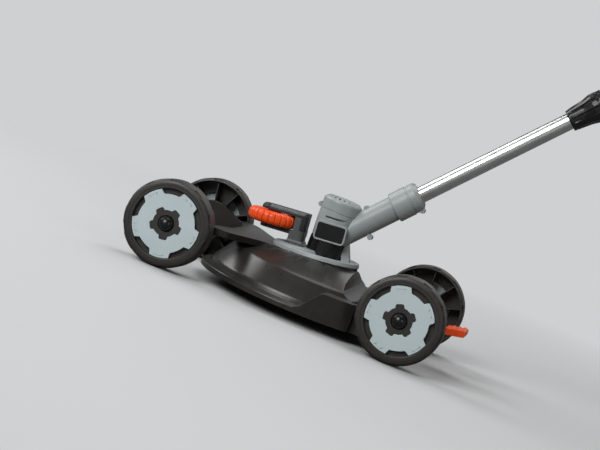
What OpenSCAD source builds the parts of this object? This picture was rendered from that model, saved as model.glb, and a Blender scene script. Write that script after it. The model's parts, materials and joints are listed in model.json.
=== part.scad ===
// Wheeled string trimmer: a trimmer head, shaft and handle docked in a four-wheeled mowing deck.
// The front is +X, the left side is +Y, and the wheels stand on z = 0.

/* [Wheels and axles] */
// Radius of each road wheel
wheel_r = 65; // [60:1:70]
// Width of each road wheel across its tread
wheel_w = 41; // [36:1:44]
// Distance from the front axle to the rear axle
wheelbase = 366; // [360:1:390]
// Distance of the front axle ahead of the motor axis
front_axle_x = 207; // [200:1:215]
// Distance between the middles of the left and right wheels
track = 302; // [300:1:320]
// Radius of the pale disc set in each wheel
hubcap_r = 50.5; // [46:0.5:53]
// Thickness of the pale disc
hubcap_t = 3; // [2:0.5:4]
// Depth of the well that holds the pale disc
hubcap_well = 6.5; // [5:0.5:9]
// Diameter of the axles
axle_d = 8; // [6:0.5:10]
// Radius of the ball caps on the axle ends
ball_r = 11.5; // [10:0.5:13]
// Height that each axle can drop in its slots
axle_drop = 20; // [10:1:22]
// Number of tread notches round each edge of a wheel
cleats = 10; // [8:1:14]

/* [Deck] */
// Radius of the deck's outer rim
rim_r = 168; // [165:1:172]
// Height of the rim's lower edge above the ground
rim_z = 16.5; // [13:0.5:20]
// Wall of the deck
deck_wall = 3; // [2:0.5:4]
// Height of the rim flange above the rim's lower edge
flange_h = 12; // [9:1:14]
// Distance from the rim in to the foot of the skirt wall
flange_w = 14; // [11:1:17]
// Distance from the skirt's foot in to the shoulder above it
skirt_in = 24; // [21:1:28]
// Height of the shoulder above the ground
shoulder_z = 66; // [62:1:69]
// Slope of the deck's upper cone
cone_slope = 18; // [15:1:21]
// Distance of the turret's flat rear wall behind the motor axis
turret_rear = 58; // [54:1:64]
// Radius of the opening that takes the trimmer head
opening_r = 53; // [52:0.5:54]
// Height of the guard's seat on the motor axis
seat_z = 88; // [86:1:91]
// Forward tilt of the guard's seat
seat_tilt = 6; // [4:0.5:8]
// Height of the front bridge's upper face
bridge_z = 83; // [80:1:85]
// Thickness of the front bridge
bridge_t = 9.5; // [7:0.5:12]
// Distance of the bridge's front edge ahead of the motor axis
bridge_front = 152; // [146:1:158]
// Thickness of the axle uprights
upright_t = 13; // [10:1:15]
// Height of the low rear part of the deck
shelf_z = 58; // [55:1:61]

/* [Foot pedal] */
// Half width of the pedal's tread
pedal_half = 24; // [18:1:30]
// Distance of the pedal's rear edge behind the rear axle
pedal_reach = 87; // [81:1:93]
// Diameter of the pedal's hinge pin
pedal_pin_d = 6; // [5:0.5:8]

/* [Trimmer head] */
// Radius of the guard
guard_r = 59; // [57:0.5:61]
// Thickness of the guard's rim
guard_t = 7; // [5:0.5:9]
// Radius of the dark neck below the motor
neck_r = 28; // [26:0.5:30]
// Height of the neck above the seat
neck_h = 30; // [27:1:33]
// Radius of the motor barrel under its cap
barrel_r = 29.5; // [28:0.5:31]
// Height of the barrel's upper edge above the seat
barrel_h = 75; // [73:1:79]
// Height of the motor cap
cap_h = 21; // [17:1:25]
// Wall of the motor housing
housing_wall = 3; // [2:0.5:4]
// Radius of the motor can
can_r = 20; // [17:0.5:22]
// Diameter of the motor shaft
shaft_d = 5; // [4:0.5:6]
// Width of the bare plate on the housing's left side
plate_w = 43; // [38:1:46]
// Height of the bare plate
plate_h = 24; // [20:1:26]
// Radius of the orange guide wheel
guide_r = 38.5; // [34:0.5:40]
// Thickness of the guide wheel
guide_t = 20; // [16:1:22]
// Number of ribs round the guide wheel
guide_ribs = 24; // [16:1:32]
// Distance of the guide wheel's pin ahead of the motor axis, along the seat
guide_x = 88.5; // [87:0.5:94]
// Distance from the deck's rim in to the tips of the cutting line
line_gap = 28; // [27:1:48]
// Height of the cutting line above the ground
line_z = 36; // [33:1:39]
// Diameter of the cutting line
line_d = 2; // [1.6:0.2:2.4]
// Radius of the spool hub
spool_r = 38; // [36:1:42]

/* [Shaft] */
// Slope of the shaft above the ground
tube_angle = 48.4; // [42:0.2:54]
// Diameter of the lower tube
tube_d = 25; // [22:0.5:27]
// Wall of both tubes
tube_wall = 1.5; // [1:0.1:2]
// Height above the seat where the shaft's axis meets the motor axis
elbow_h = 28; // [25:1:31]
// Radius of the housing's socket
socket_r = 19; // [17:0.5:20.5]
// Radius of the socket's collar
collar_r = 23; // [21:0.5:25]
// Distance along the shaft to the collar's start
collar_start = 113; // [108:1:118]
// Distance along the shaft to the collar's end
collar_end = 157; // [152:1:162]
// Distance along the shaft to the locking nut
nut_start = 404; // [380:1:430]
// Length of the locking nut
nut_len = 60; // [52:1:70]
// Length of the lower tube
lower_tube_len = 520; // [480:5:560]

/* [Handle] */
// Distance along the shaft to the main handle
handle_start = 770; // [750:5:800]
// Distance along the shaft to the assist handle
assist_at = 640; // [620:5:660]
// Half width of the assist handle's loop
assist_half = 52; // [44:1:60]
// Height of the assist handle's loop
assist_h = 122; // [110:1:130]
// Radius of the assist handle's bar
assist_bar_r = 8; // [6:0.5:10]
// Length of the trigger
trigger_len = 74; // [64:1:80]
// Width of the trigger
trigger_w = 13; // [10:1:15]

/* [Clearances] */
// Radial clearance of a turning fit
run_fit = 0.05; // [0.02:0.01:0.1]
// Clearance between sliding or neighbouring faces of moving pieces
slide_gap = 0.3; // [0.2:0.05:0.5]

/* [Hidden] */
$fn = 72;

// Colours of the pieces
deck_colour = [0.17, 0.15, 0.14];
tyre_colour = [0.15, 0.13, 0.12];
disc_colour = [0.68, 0.75, 0.78];
body_grey = [0.46, 0.49, 0.51];
guard_grey = [0.55, 0.58, 0.59];
dark_grey = [0.23, 0.24, 0.25];
black = [0.06, 0.06, 0.06];
orange = [0.87, 0.24, 0.10];
steel = [0.70, 0.71, 0.72];
bright = [0.85, 0.86, 0.87];
brass = [0.75, 0.60, 0.30];

// Steps in a rounded corner, overrun of a cut past the face it opens, and half size of a cutting block
arc_steps = 5;
over = 1;
far = 600;

// Places of the machine's main parts
rear_axle_x = front_axle_x - wheelbase;
foot_r = rim_r - flange_w;
shoulder_r = foot_r - skirt_in;
line_reach = rim_r - line_gap;
pedal_rear = pedal_reach - rear_axle_x;
wheel_half = wheel_w / 2;
wheel_y = track / 2;
hub_stand = 3;
upright_out = wheel_y - wheel_half - hub_stand - slide_gap - 0.2;
upright_in = upright_out - upright_t;
flange_z = rim_z + flange_h;
seat_gap = 0.2;
head_z = seat_z + seat_gap;
elbow_z = head_z + elbow_h;
tube_r = tube_d / 2;
upper_bore_r = tube_r + slide_gap;
upper_r = upper_bore_r + tube_wall;
upper_start = nut_start + 24;
handle_len = 322;
handle_end = handle_start + handle_len;
handle_end_half = 20;
front_reach = front_axle_x + wheel_r;
rear_reach = handle_end * cos(tube_angle) + handle_end_half * sin(tube_angle);
motor_x = (rear_reach - front_reach) / 2;

function unit(v) = v / norm(v);
// Arc of radius r that rounds the corner at b between a and c
function corner_arc(a, b, c, r) =
    r <= 0 || unit(a - b) * unit(c - b) < -0.9999 ? [b] :
    let (u = unit(a - b), v = unit(c - b), half = acos(u * v) / 2,
         mid = b + unit(u + v) * r / sin(half),
         p = b + u * r / tan(half) - mid,
         q = b + v * r / tan(half) - mid,
         start = atan2(p.y, p.x),
         turn = (atan2(q.y, q.x) - start + 540) % 360 - 180)
    [for (i = [0:arc_steps])
        mid + r * [cos(start + turn * i / arc_steps), sin(start + turn * i / arc_steps)]];
// Outline through points [x, y, corner radius]
function rounded(pts) =
    let (n = len(pts), p = [for (q = pts) [q.x, q.y]])
    [for (i = [0:n - 1]) each corner_arc(p[(i + n - 1) % n], p[i], p[(i + 1) % n], pts[i].z)];

// Moves a piece from the motor's own axis to the part's origin
module place() translate([motor_x, 0, 0]) children();
// Frame of the tilted seat, with its origin on the motor axis
module on_seat(z = 0) translate([0, 0, seat_z]) rotate([0, seat_tilt, 0]) translate([0, 0, z]) children();
// Frame of the shaft: +Z runs up the tube, +X points to its upper side
module on_tube(s = 0) translate([0, 0, elbow_z]) rotate([0, tube_angle - 90, 0]) translate([0, 0, s]) children();
// Cylinder along Y, from one y to another
module across(r, from_y, to_y) translate([0, to_y, 0]) rotate([90, 0, 0]) cylinder(r = r, h = to_y - from_y);
// Plate cut from an outline in x and z, from one y to another
module side_plate(pts, from_y, to_y)
    translate([0, to_y, 0]) rotate([90, 0, 0]) linear_extrude(to_y - from_y) polygon(rounded(pts));
module tube(outer_r, inner_r, h) difference() {
    cylinder(r = outer_r, h = h);
    translate([0, 0, -over]) cylinder(r = inner_r, h = h + 2 * over);
}
module both_sides() for (side = [0, 1]) mirror([0, side, 0]) children();
// Solid through a row of rings that have equally many points
module loft(rings) {
    n = len(rings[0]);
    m = len(rings);
    points = [for (ring = rings) each ring];
    sides = [for (i = [0:m - 2], j = [0:n - 1]) let (a = i * n + j, b = i * n + (j + 1) % n)
             each [[a, a + n, b], [b, a + n, b + n]]];
    caps = [[for (j = [0:n - 1]) j], [for (j = [n - 1:-1:0]) (m - 1) * n + j]];
    polyhedron(points = points, faces = concat(sides, caps), convexity = 6);
}
// Coil spring along +Z, with closed ends on z = 0 and z = h
spring_rings = 8;
spring_sides = 6;
module coil_spring(r, wire_r, turns, h) {
    steps = turns * spring_rings;
    rise = (h - 2 * wire_r) / steps;
    loft([for (i = [0:steps]) let (a = 360 * i / spring_rings)
          [for (j = [0:spring_sides - 1]) let (b = 360 * j / spring_sides, d = r + wire_r * cos(b))
           [d * cos(a), d * sin(a), wire_r + i * rise + wire_r * sin(b)]]]);
}

// Wheels

web_t = 3;
rim_wall = 5;
wheel_rib_t = 2;
wheel_ribs = 10;
wheel_hub_r = 14;
lobe_count = 5;
lobe_base_r = 19.5;
lobe_tip_r = 24;
lobe_base_w = 14;
lobe_tip_w = 11.5;
lobe_round = 2.5;
lobe_clear = 0.4;
front_turn = 27;
disc_clear = 0.5;
notch_depth = 7.5;
notch_in = 15;
notch_out = 19.5;
notch_round = 2.5;
window_in = lobe_tip_r + 4;
window_out = hubcap_r - notch_depth - 1.5;
window_half = 18;
ball_out = 9;
ball_clear = 0.6;
cleat_w = 14;
cleat_len = 8;
cleat_depth = 2.6;

// Round boss with lobes that the pale disc's middle hole fits round
module lobed(shrink) {
    circle(r = lobe_base_r - shrink);
    for (i = [0:lobe_count - 1]) rotate(i * 360 / lobe_count)
        polygon(rounded([[wheel_hub_r, shrink - lobe_base_w / 2, 0],
                         [lobe_tip_r - shrink, shrink - lobe_tip_w / 2, lobe_round],
                         [lobe_tip_r - shrink, lobe_tip_w / 2 - shrink, lobe_round],
                         [wheel_hub_r, lobe_base_w / 2 - shrink, 0]]));
}
module window() intersection() {
    difference() {
        circle(r = window_out);
        circle(r = window_in);
    }
    polygon([[0, 0], 2 * hubcap_r * [cos(window_half), -sin(window_half)],
             2 * hubcap_r * [cos(window_half), sin(window_half)]]);
}
// Wheel with its axle on Z and its outer face towards +Z
module wheel() color(tyre_colour) {
    well_z = wheel_half - hubcap_well;
    difference() {
        union() {
            rotate_extrude() polygon(rounded([
                [wheel_r - rim_wall, -wheel_half, 1], [wheel_r, -wheel_half, 4], [wheel_r, wheel_half, 7],
                [hubcap_r + disc_clear, wheel_half, 1.5], [hubcap_r + disc_clear, well_z - web_t, 0],
                [wheel_r - rim_wall, well_z - web_t, 0]]));
            translate([0, 0, well_z - web_t]) cylinder(r = hubcap_r + disc_clear + over, h = web_t);
            translate([0, 0, -wheel_half - hub_stand])
                cylinder(r = wheel_hub_r, h = wheel_w + hub_stand - hubcap_well);
            translate([0, 0, well_z - over]) linear_extrude(hubcap_well + over - 1) lobed(lobe_clear);
            for (i = [0:wheel_ribs - 1]) rotate((i + 0.5) * 360 / wheel_ribs)
                translate([wheel_hub_r - over, -wheel_rib_t / 2, -wheel_half + 6])
                    cube([wheel_r - rim_wall - wheel_hub_r + 2 * over, wheel_rib_t, well_z + wheel_half - 6 - over]);
        }
        translate([0, 0, -far]) cylinder(d = axle_d + 2 * run_fit, h = 2 * far);
        translate([0, 0, wheel_half + ball_out - ball_r]) sphere(r = ball_r + ball_clear);
        translate([0, 0, well_z - web_t - over]) linear_extrude(web_t + 2 * over)
            for (i = [0:lobe_count - 1]) rotate((i + 0.5) * 360 / lobe_count) window();
        for (i = [0:cleats - 1], end = [-1, 1]) rotate((i + (1 - end) / 4) * 360 / cleats)
            translate([wheel_r - cleat_depth, -cleat_w / 2, end * (wheel_half - cleat_len / 2) - cleat_len / 2])
                cube([cleat_depth + over, cleat_w, cleat_len]);
    }
}
// Pale disc with notched edge and lobed middle hole, in the wheel's own frame
module hubcap() color(disc_colour) {
    inner = hubcap_r - notch_depth;
    corner = inner * [cos(notch_in), sin(notch_in)];
    edge = 2 * hubcap_r * [cos(notch_out), sin(notch_out)] - corner;
    foot_out = window_in - 0.5;
    translate([0, 0, wheel_half - hubcap_t]) linear_extrude(hubcap_t) difference() {
        circle(r = hubcap_r);
        lobed(0);
        for (i = [0:lobe_count - 1]) rotate((i + 0.5) * 360 / lobe_count)
            polygon(rounded([[edge.x, -edge.y, 0],
                             for (a = [-notch_in:notch_in / 2:notch_in])
                                 [inner * cos(a), inner * sin(a), abs(a) == notch_in ? notch_round : 0],
                             [edge.x, edge.y, 0]]));
    }
    translate([0, 0, wheel_half - hubcap_well]) tube(foot_out, lobe_tip_r + 1, hubcap_well - hubcap_t + 0.5);
}
// Ball cap pressed on an axle end, in the wheel's own frame
module ball_cap() color(black) difference() {
    translate([0, 0, wheel_half + ball_out - ball_r]) sphere(r = ball_r);
    translate([0, 0, -far + axle_tip]) cylinder(d = axle_d + 2 * run_fit, h = far);
    translate([0, 0, -far + wheel_half - 5]) cylinder(r = far, h = far);
}
axle_tip = wheel_half + ball_out - 4;
// Places a wheel's frame on an axle, on the left for side 1 and on the right for side -1
module at_wheel(x, side) place() translate([x, side * wheel_y, wheel_r]) rotate([-90 * side, 0, 0]) children();
module axle(x) color(steel) place() translate([x, 0, wheel_r])
    across(axle_d / 2, -wheel_y - axle_tip, wheel_y + axle_tip);

// Deck

upright_r = 17;
turret_fillet = 22;
slot_clear = 0.15;
well_gap = 2.2;
axle_bay_gap = 4;
carrier_step = 0.6;
well_x = rear_axle_x + wheel_r + well_gap;
well_y = wheel_y - wheel_half - hub_stand;
side_x = -sqrt(rim_r * rim_r - upright_out * upright_out);
root_x = side_x + 52;
cone_top_z = seat_z + 14;
cone_top_r = shoulder_r - (cone_top_z - shoulder_z) / tan(cone_slope);
cutter_angle = 150;
cutter_r = line_reach + 3.5;
cutter_w = 18;
cutter_t = 1.5;
cutter_h = 14;

// Revolved body of the deck, drawn in by t
module dome(t) rotate_extrude($fn = 120) polygon(rounded([
    [0, cone_top_z - t, 0], [cone_top_r, cone_top_z - t, 0],
    [shoulder_r - t * 0.7, shoulder_z - t, 14], [foot_r - t, flange_z + 6, 12],
    [foot_r + 1.5 - t, flange_z - 1.5 - t * 0.4, 0.6], [foot_r + 4 - t, flange_z - t, 1],
    [rim_r - t, flange_z - 4 - t, 2.5], [rim_r - t, t > 0 ? rim_z - over : rim_z, 0],
    [0, t > 0 ? rim_z - over : rim_z, 0]]));
// Low rear part with upright sides, drawn in by t
module shelf(t) intersection() {
    translate([0, 0, t > 0 ? rim_z - over : rim_z]) cylinder(r = rim_r - t, h = cone_top_z, $fn = 120);
    side_plate([[-4 - t, rim_z - 2 * over, 0], [-4 - t, flange_z - 6 - t, 3], [-18 - t, flange_z + 1 - t, 14],
                [-40 - t, shelf_z - t, 16], [-far, shelf_z - t, 0], [-far, rim_z - 2 * over, 0]], -rim_r, rim_r);
}
// Round collar under the guard, square to the tilted seat
module turret() intersection() {
    on_seat(-seat_z / 3) cylinder(r = guard_r - 1.5, h = seat_z / 3);
    translate([-turret_rear, -far, 0]) cube(2 * far);
}
// Space behind the turret's rear wall and above the shelf, with a rounded foot, moved in by t
module behind_turret(t) side_plate([
    [t - turret_rear, far, 0], [t - turret_rear, shelf_z - t, turret_fillet + t],
    [-far, shelf_z - t, 0], [-far, far, 0]], -far, far);
// Room for the rear wheels and their axle, grown by t
module wheel_wells(t) {
    both_sides() translate([-far, well_y - t, -far]) cube([far + well_x + t, far, 2 * far]);
    translate([-far + rear_axle_x + axle_d / 2 + axle_bay_gap + t, -far, -far]) cube([far, 2 * far, 2 * far]);
}
// Plate that joins the dome to the front uprights
module bridge() translate([0, 0, bridge_z - bridge_t]) linear_extrude(bridge_t) polygon(rounded([
    for (s = [1, -1], p = s > 0 ?
        [[40, 30, 0], [84, 52, 30], [128, upright_out, 18], [bridge_front, upright_out, 6],
         [bridge_front, upright_in - 14, 10], [bridge_front - 15, 40, 30]] :
        [[bridge_front - 15, 40, 30], [bridge_front, upright_in - 14, 10], [bridge_front, upright_out, 6],
         [128, upright_out, 18], [84, 52, 30], [40, 30, 0]]) [p.x, s * p.y, p.z]]));
// Upright plates that carry an axle in upright slots
module front_uprights() both_sides() side_plate([
    [bridge_front - 20, bridge_z, 0], [bridge_front + 6, bridge_z - 2, 12],
    [front_axle_x - 12, wheel_r + upright_r + 14, 16], [front_axle_x + upright_r, wheel_r + upright_r + 14, 15],
    [front_axle_x + upright_r, wheel_r - axle_drop - upright_r * 0.7, 10],
    [front_axle_x - upright_r, wheel_r - axle_drop - upright_r * 0.7, 8],
    [front_axle_x - upright_r - 18, bridge_z - bridge_t - 8, 10], [bridge_front - 20, bridge_z - bridge_t, 0]],
    upright_in, upright_out);
module rear_uprights() both_sides() side_plate([
    [root_x, shelf_z - 8, 0], [min(well_x, root_x - 20), shelf_z + 6, 14],
    [rear_axle_x + upright_r, wheel_r + upright_r - 2, 12], [rear_axle_x - upright_r, wheel_r + upright_r - 2, 15],
    [rear_axle_x - upright_r, wheel_r - axle_drop - upright_r * 0.7, 12],
    [rear_axle_x + upright_r, wheel_r - axle_drop - upright_r * 0.7, 10],
    [min(well_x, root_x - 20), flange_z + 6, 8], [root_x, flange_z + 4, 0]],
    upright_in, upright_out);
// Room of the front brackets ahead of the bridge, and of the rear carrier behind the wheel wells' front
module carrier_room() {
    both_sides() translate([bridge_front + 2, upright_in - over, -far]) cube(2 * far);
    translate([well_x - carrier_step - 2 * far, -far, -far]) cube(2 * far);
}
module axle_slots() for (x = [front_axle_x, rear_axle_x]) axle_slot(x);
module axle_slot(x) {
    r = axle_d / 2 + slot_clear;
    for (z = [wheel_r, wheel_r - axle_drop]) translate([x, 0, z]) across(r, -upright_out - over, upright_out + over);
    translate([x - r, -upright_out - over, wheel_r - axle_drop])
        cube([2 * r, 2 * (upright_out + over), axle_drop]);
}
// Everything above the tilted seat within a radius
module above_seat(r, z = 0) on_seat(z) cylinder(r = r, h = far);

pedal_pivot_x = -112;
pedal_pivot_z = shelf_z + 16;
ear_in = 12;
ear_t = 6;
ear_r = 8;
module pedal_ears() both_sides() side_plate([
    [pedal_pivot_x - ear_r, pedal_pivot_z + ear_r, ear_r - 0.5], [pedal_pivot_x + ear_r, pedal_pivot_z + ear_r, ear_r - 0.5],
    [pedal_pivot_x + ear_r + 6, shelf_z - 1, 0], [pedal_pivot_x - ear_r - 4, shelf_z - 1, 0]], ear_in, ear_in + ear_t);

module deck_shell() color(deck_colour) place() difference() {
    deck();
    carrier_room();
}
module axle_carriers() color(deck_colour) place() intersection() {
    deck();
    carrier_room();
}
module deck() difference() {
    union() {
        difference() {
            union() {
                difference() {
                    dome(0);
                    behind_turret(0);
                }
                shelf(0);
                turret();
            }
            above_seat(far);
            wheel_wells(0);
        }
        difference() {
            bridge();
            above_seat(guard_r + 1.5);
            on_seat() translate([lip_x, 0, 0]) cylinder(r = lip_r + 1.5, h = far);
        }
        front_uprights();
        rear_uprights();
        pedal_ears();
    }
    difference() {
        union() {
            difference() {
                dome(deck_wall);
                behind_turret(deck_wall);
            }
            shelf(deck_wall);
        }
        above_seat(far, -deck_wall);
        wheel_wells(deck_wall);
        rotate(cutter_angle) translate([cutter_r + cutter_t, -cutter_w / 2, 0])
            cube([rim_r, cutter_w, line_z + cutter_h / 2]);
    }
    on_seat(-far / 2) cylinder(r = opening_r, h = far);
    axle_slots();
    translate([pedal_pivot_x, 0, pedal_pivot_z])
        across(pedal_pin_d / 2 + run_fit, -ear_in - ear_t - over, ear_in + ear_t + over);
    rotate(cutter_angle) for (y = [-cutter_w / 4, cutter_w / 4]) translate([cutter_r, y, line_z])
        rotate([0, 90, 0]) cylinder(r = cutter_screw_r + run_fit, h = cutter_screw_len);
}
cutter_screw_r = 1.5;
cutter_screw_len = 6;
module line_cutter() color(steel) place() rotate(cutter_angle) difference() {
    translate([cutter_r, -cutter_w / 2, line_z - cutter_h / 2]) cube([cutter_t, cutter_w, cutter_h]);
    for (y = [-cutter_w / 4, cutter_w / 4]) translate([cutter_r - over, y, line_z]) rotate([0, 90, 0])
        cylinder(r = cutter_screw_r + run_fit, h = cutter_t + 2 * over);
}
module cutter_screws() color(steel) place() rotate(cutter_angle)
    for (y = [-cutter_w / 4, cutter_w / 4]) translate([cutter_r - 1.2, y, line_z]) rotate([0, 90, 0]) {
        cylinder(r = 2 * cutter_screw_r, h = 1.2);
        cylinder(r = cutter_screw_r, h = cutter_screw_len);
    }

// Foot pedal

pedal_hub_half = 6;
pedal_pad_t = 11;
pedal_rise = 7;
pedal_pad_len = 32;
pedal_pad_z = wheel_r + 1;
pedal_arm_z = wheel_r + axle_d / 2 + 9.5;
pedal_arm_t = 10;
module pedal_pin() color(steel) place() translate([pedal_pivot_x, 0, pedal_pivot_z])
    across(pedal_pin_d / 2, -ear_in - ear_t, ear_in + ear_t);
module pedal_spring() color(steel) place() translate([pedal_pivot_x, pedal_hub_half + slide_gap, pedal_pivot_z])
    rotate([-90, 0, 0]) coil_spring(pedal_pin_d / 2 + 1.2, 0.55, 4, ear_in - pedal_hub_half - 2 * slide_gap);
module foot_pedal() color(orange) place() difference() {
    union() {
        translate([pedal_pivot_x, 0, pedal_pivot_z]) across(ear_r - 1, -pedal_hub_half, pedal_hub_half);
        side_plate([
            [pedal_pivot_x + 15, shelf_z + 9, 2], [pedal_pivot_x + 4, shelf_z + 9, 6],
            [pedal_pivot_x - 12, pedal_arm_z, 10], [rear_axle_x - 8, pedal_arm_z, 14],
            [-pedal_rear + pedal_pad_len + 10, pedal_pad_z - pedal_pad_t, 8],
            [-pedal_rear + pedal_pad_len - 4, pedal_pad_z - pedal_pad_t, 0],
            [-pedal_rear + pedal_pad_len - 4, pedal_pad_z - 1, 0], [-pedal_rear + pedal_pad_len + 12, pedal_pad_z, 10],
            [rear_axle_x - 6, pedal_arm_z + pedal_arm_t, 16], [pedal_pivot_x - 8, pedal_arm_z + pedal_arm_t, 14],
            [pedal_pivot_x + 15, pedal_pivot_z, 5]], -pedal_hub_half, pedal_hub_half);
        side_plate([
            [-pedal_rear, pedal_pad_z + pedal_rise, 3], [-pedal_rear, pedal_pad_z - pedal_pad_t + pedal_rise, 3],
            [-pedal_rear + pedal_pad_len, pedal_pad_z - pedal_pad_t, 4], [-pedal_rear + pedal_pad_len, pedal_pad_z, 3]],
            -pedal_half, pedal_half);
        for (d = [6, 14, 22]) translate([d - pedal_rear, 0, pedal_pad_z + pedal_rise * (1 - d / pedal_pad_len)])
            across(1.6, 3 - pedal_half, pedal_half - 3);
    }
    translate([pedal_pivot_x, 0, pedal_pivot_z])
        across(pedal_pin_d / 2 + run_fit, -pedal_half, pedal_half);
}

// Guard and edge guide, in the tilted frame of the seat

spigot_r = opening_r - slide_gap - 0.3;
spigot_h = 5;
shaft_hole_r = 12;
lip_h = 10;
lip_x = 37;
lip_r = 41;
lip_round = 6;
strut_x = 40.5;
strut_w = 13;
strut_half = 8;
strut_lean = 15;
fork_half = 18;
fork_t = 8.5;
fork_x = 45;
fork_back = fork_x - 12;
fork_front = fork_x + 11;
fork_back_t = 9;
fork_back_z = 31;
tongue_half = fork_half - 4;
arm_ahead = 2;
arm_gap = 1.3;
low_arm_t = 5;
foot_h = 6;
foot_flare = 6;
guide_base = 29;
low_arm_z = guide_base - arm_gap - low_arm_t;
high_arm_z = guide_base + guide_t + arm_gap;
guide_mid = guide_base + guide_t / 2;
guide_pin_r = 3;
guide_hub_r = 9;
groove_w = 1.6;
groove_depth = 1.4;
// The guard's raised front lip
module lip() on_seat(seat_gap) translate([lip_x, 0, 0]) rotate_extrude($fn = 120) polygon(rounded([
    [0, 0, 0], [lip_r, 0, 0], [lip_r, lip_h, lip_round], [0, lip_h, 0]]));
module guard() color(guard_grey) place() difference() {
    union() {
        on_seat(seat_gap) {
            rotate_extrude($fn = 120) polygon(rounded([
                [0, -spigot_h, 0], [spigot_r, -spigot_h, 1], [spigot_r, 0, 0], [guard_r, 0, 0.8],
                [guard_r - 1.5, guard_t, 2.5], [guard_r - 8, guard_t, 1], [guard_r - 9.5, guard_t - 2, 1],
                [0, guard_t - 2, 0]]));
        }
        lip();
        difference() {
            side_plate([[-strut_x - strut_w / 2, head_z, 0], [-strut_x + strut_w / 2, head_z, 0],
                        [-strut_x + strut_w / 2 + strut_lean, elbow_z + 4, 0],
                        [-strut_x - strut_w / 2 + strut_lean, elbow_z + 7, 0]], -strut_half, strut_half);
            on_tube() cylinder(r = socket_r + run_fit, h = collar_start);
            translate([0, 0, head_z]) cylinder(r = neck_r + run_fit, h = far);
        }
    }
    translate([0, 0, -far]) cylinder(r = shaft_hole_r, h = 2 * far);
    on_seat(seat_gap - spigot_h - over) tube(spigot_r - 4, shaft_hole_r + 8, spigot_h + over - 2);
}
// Outline of the fork's arms, seen along the guide wheel's pin
module arm_outline(half, r) {
    translate([guide_x + arm_ahead, 0]) circle(r = half);
    polygon(rounded([[fork_back, -half, r], [guide_x + arm_ahead, -half, 0],
                     [guide_x + arm_ahead, half, 0], [fork_back, half, r]]));
}
module back_outline(half, front, r) polygon(rounded([
    [fork_back, -half, r], [front, -half, 0], [front, half, 0], [fork_back, half, r]]));
// Arms of the fork and the plate that joins them behind the post
module fork_body() on_seat(seat_gap) {
    translate([0, 0, high_arm_z]) linear_extrude(fork_t - 4) arm_outline(fork_half, 8);
    translate([0, 0, high_arm_z + fork_t - 4]) linear_extrude(2.2) arm_outline(fork_half - 1, 7);
    translate([0, 0, high_arm_z + fork_t - 1.8]) linear_extrude(1.8) arm_outline(fork_half - 3.2, 5);
    translate([0, 0, low_arm_z]) linear_extrude(low_arm_t) arm_outline(tongue_half, 0);
    translate([0, 0, fork_back_z]) linear_extrude(high_arm_z + over - fork_back_z)
        back_outline(fork_half, fork_back + fork_back_t, 8);
    translate([0, 0, low_arm_z]) linear_extrude(fork_back_z + over - low_arm_z)
        back_outline(tongue_half, fork_back + fork_back_t, 0);
}
module guide_fork() color(dark_grey) place() difference() {
    fork_body();
    on_seat() translate([guide_x, 0, 0]) cylinder(r = guide_pin_r + run_fit, h = far);
    clear_barrel();
}
module clear_barrel() translate([0, 0, -over]) cylinder(r = barrel_r + 0.5, h = far);
// Post with a flared foot that carries the fork on the guard's lip
module guide_post() color(guard_grey) place() difference() {
    on_seat(seat_gap + lip_h) {
        linear_extrude(fork_back_z - lip_h) back_outline(fork_half, fork_front, 8);
        translate([fork_back + fork_back_t, -fork_half, 0])
            cube([fork_front - fork_back - fork_back_t, 2 * fork_half, high_arm_z - lip_h]);
        intersection() {
            flare(fork_back, fork_front);
            rotate(90) flare(-fork_half, fork_half);
            linear_extrude(foot_h) foot_outline();
        }
    }
    on_seat(seat_gap) translate([guide_x, 0, guide_base - arm_gap])
        cylinder(r = guide_r + 2, h = guide_t + 2 * arm_gap + over);
    on_seat(seat_gap + low_arm_z) translate([fork_back - over, -tongue_half, 0]) {
        cube([fork_front - fork_back + 2 * over, 2 * tongue_half, low_arm_t]);
        cube([fork_back_t + over, 2 * tongue_half, fork_back_z + over - low_arm_z]);
    }
    clear_barrel();
}
// Flared edges of the post's foot across one direction
module flare(low, high) side_plate([
    [low - foot_flare, 0, 0], [high + foot_flare, 0, 0], [high + foot_flare, 1, 0], [high + 1, 2.5, 4],
    [high + 0.3, foot_h, 0], [low - 0.3, foot_h, 0], [low - 1, 2.5, 4], [low - foot_flare, 1, 0]], -far, far);
module foot_outline() polygon(rounded([for (sx = [-1, 1], sy = [-sx, sx])
    [(fork_back + fork_front) / 2 + sx * ((fork_front - fork_back) / 2 + foot_flare),
     sy * (fork_half + foot_flare), 8 + foot_flare]]));
module guide_wheel_pin() color(steel) place() on_seat(seat_gap) translate([guide_x, 0, low_arm_z])
    cylinder(r = guide_pin_r, h = guide_t + 2 * arm_gap + low_arm_t + fork_t - 1);
// Rounded rim and web of the guide wheel, drawn in by t
module guide_ring(t) rotate_extrude() polygon(rounded([
    [guide_hub_r, -3, 0], [guide_r - 15 + t, -3, 2], [guide_r - 15 + t, -guide_t / 2 + t, 5],
    [guide_r - t, -guide_t / 2 + t, 8.5 - t], [guide_r - t, guide_t / 2 - t, 8.5 - t],
    [guide_r - 15 + t, guide_t / 2 - t, 5], [guide_r - 15 + t, 3, 2], [guide_hub_r, 3, 0]]));
module guide_wheel() color(orange) place() on_seat(seat_gap) translate([guide_x, 0, guide_mid]) difference() {
    union() {
        guide_ring(0);
        translate([0, 0, -guide_t / 2 - 1]) cylinder(r = guide_hub_r + over, h = guide_t + 2);
    }
    translate([0, 0, -far]) cylinder(r = guide_pin_r + run_fit, h = 2 * far);
    difference() {
        for (i = [0:guide_ribs - 1]) rotate(i * 360 / guide_ribs)
            translate([guide_r - 7, -groove_w / 2, -guide_t]) cube([8, groove_w, 2 * guide_t]);
        guide_ring(groove_depth);
    }
}

// Motor head

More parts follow.
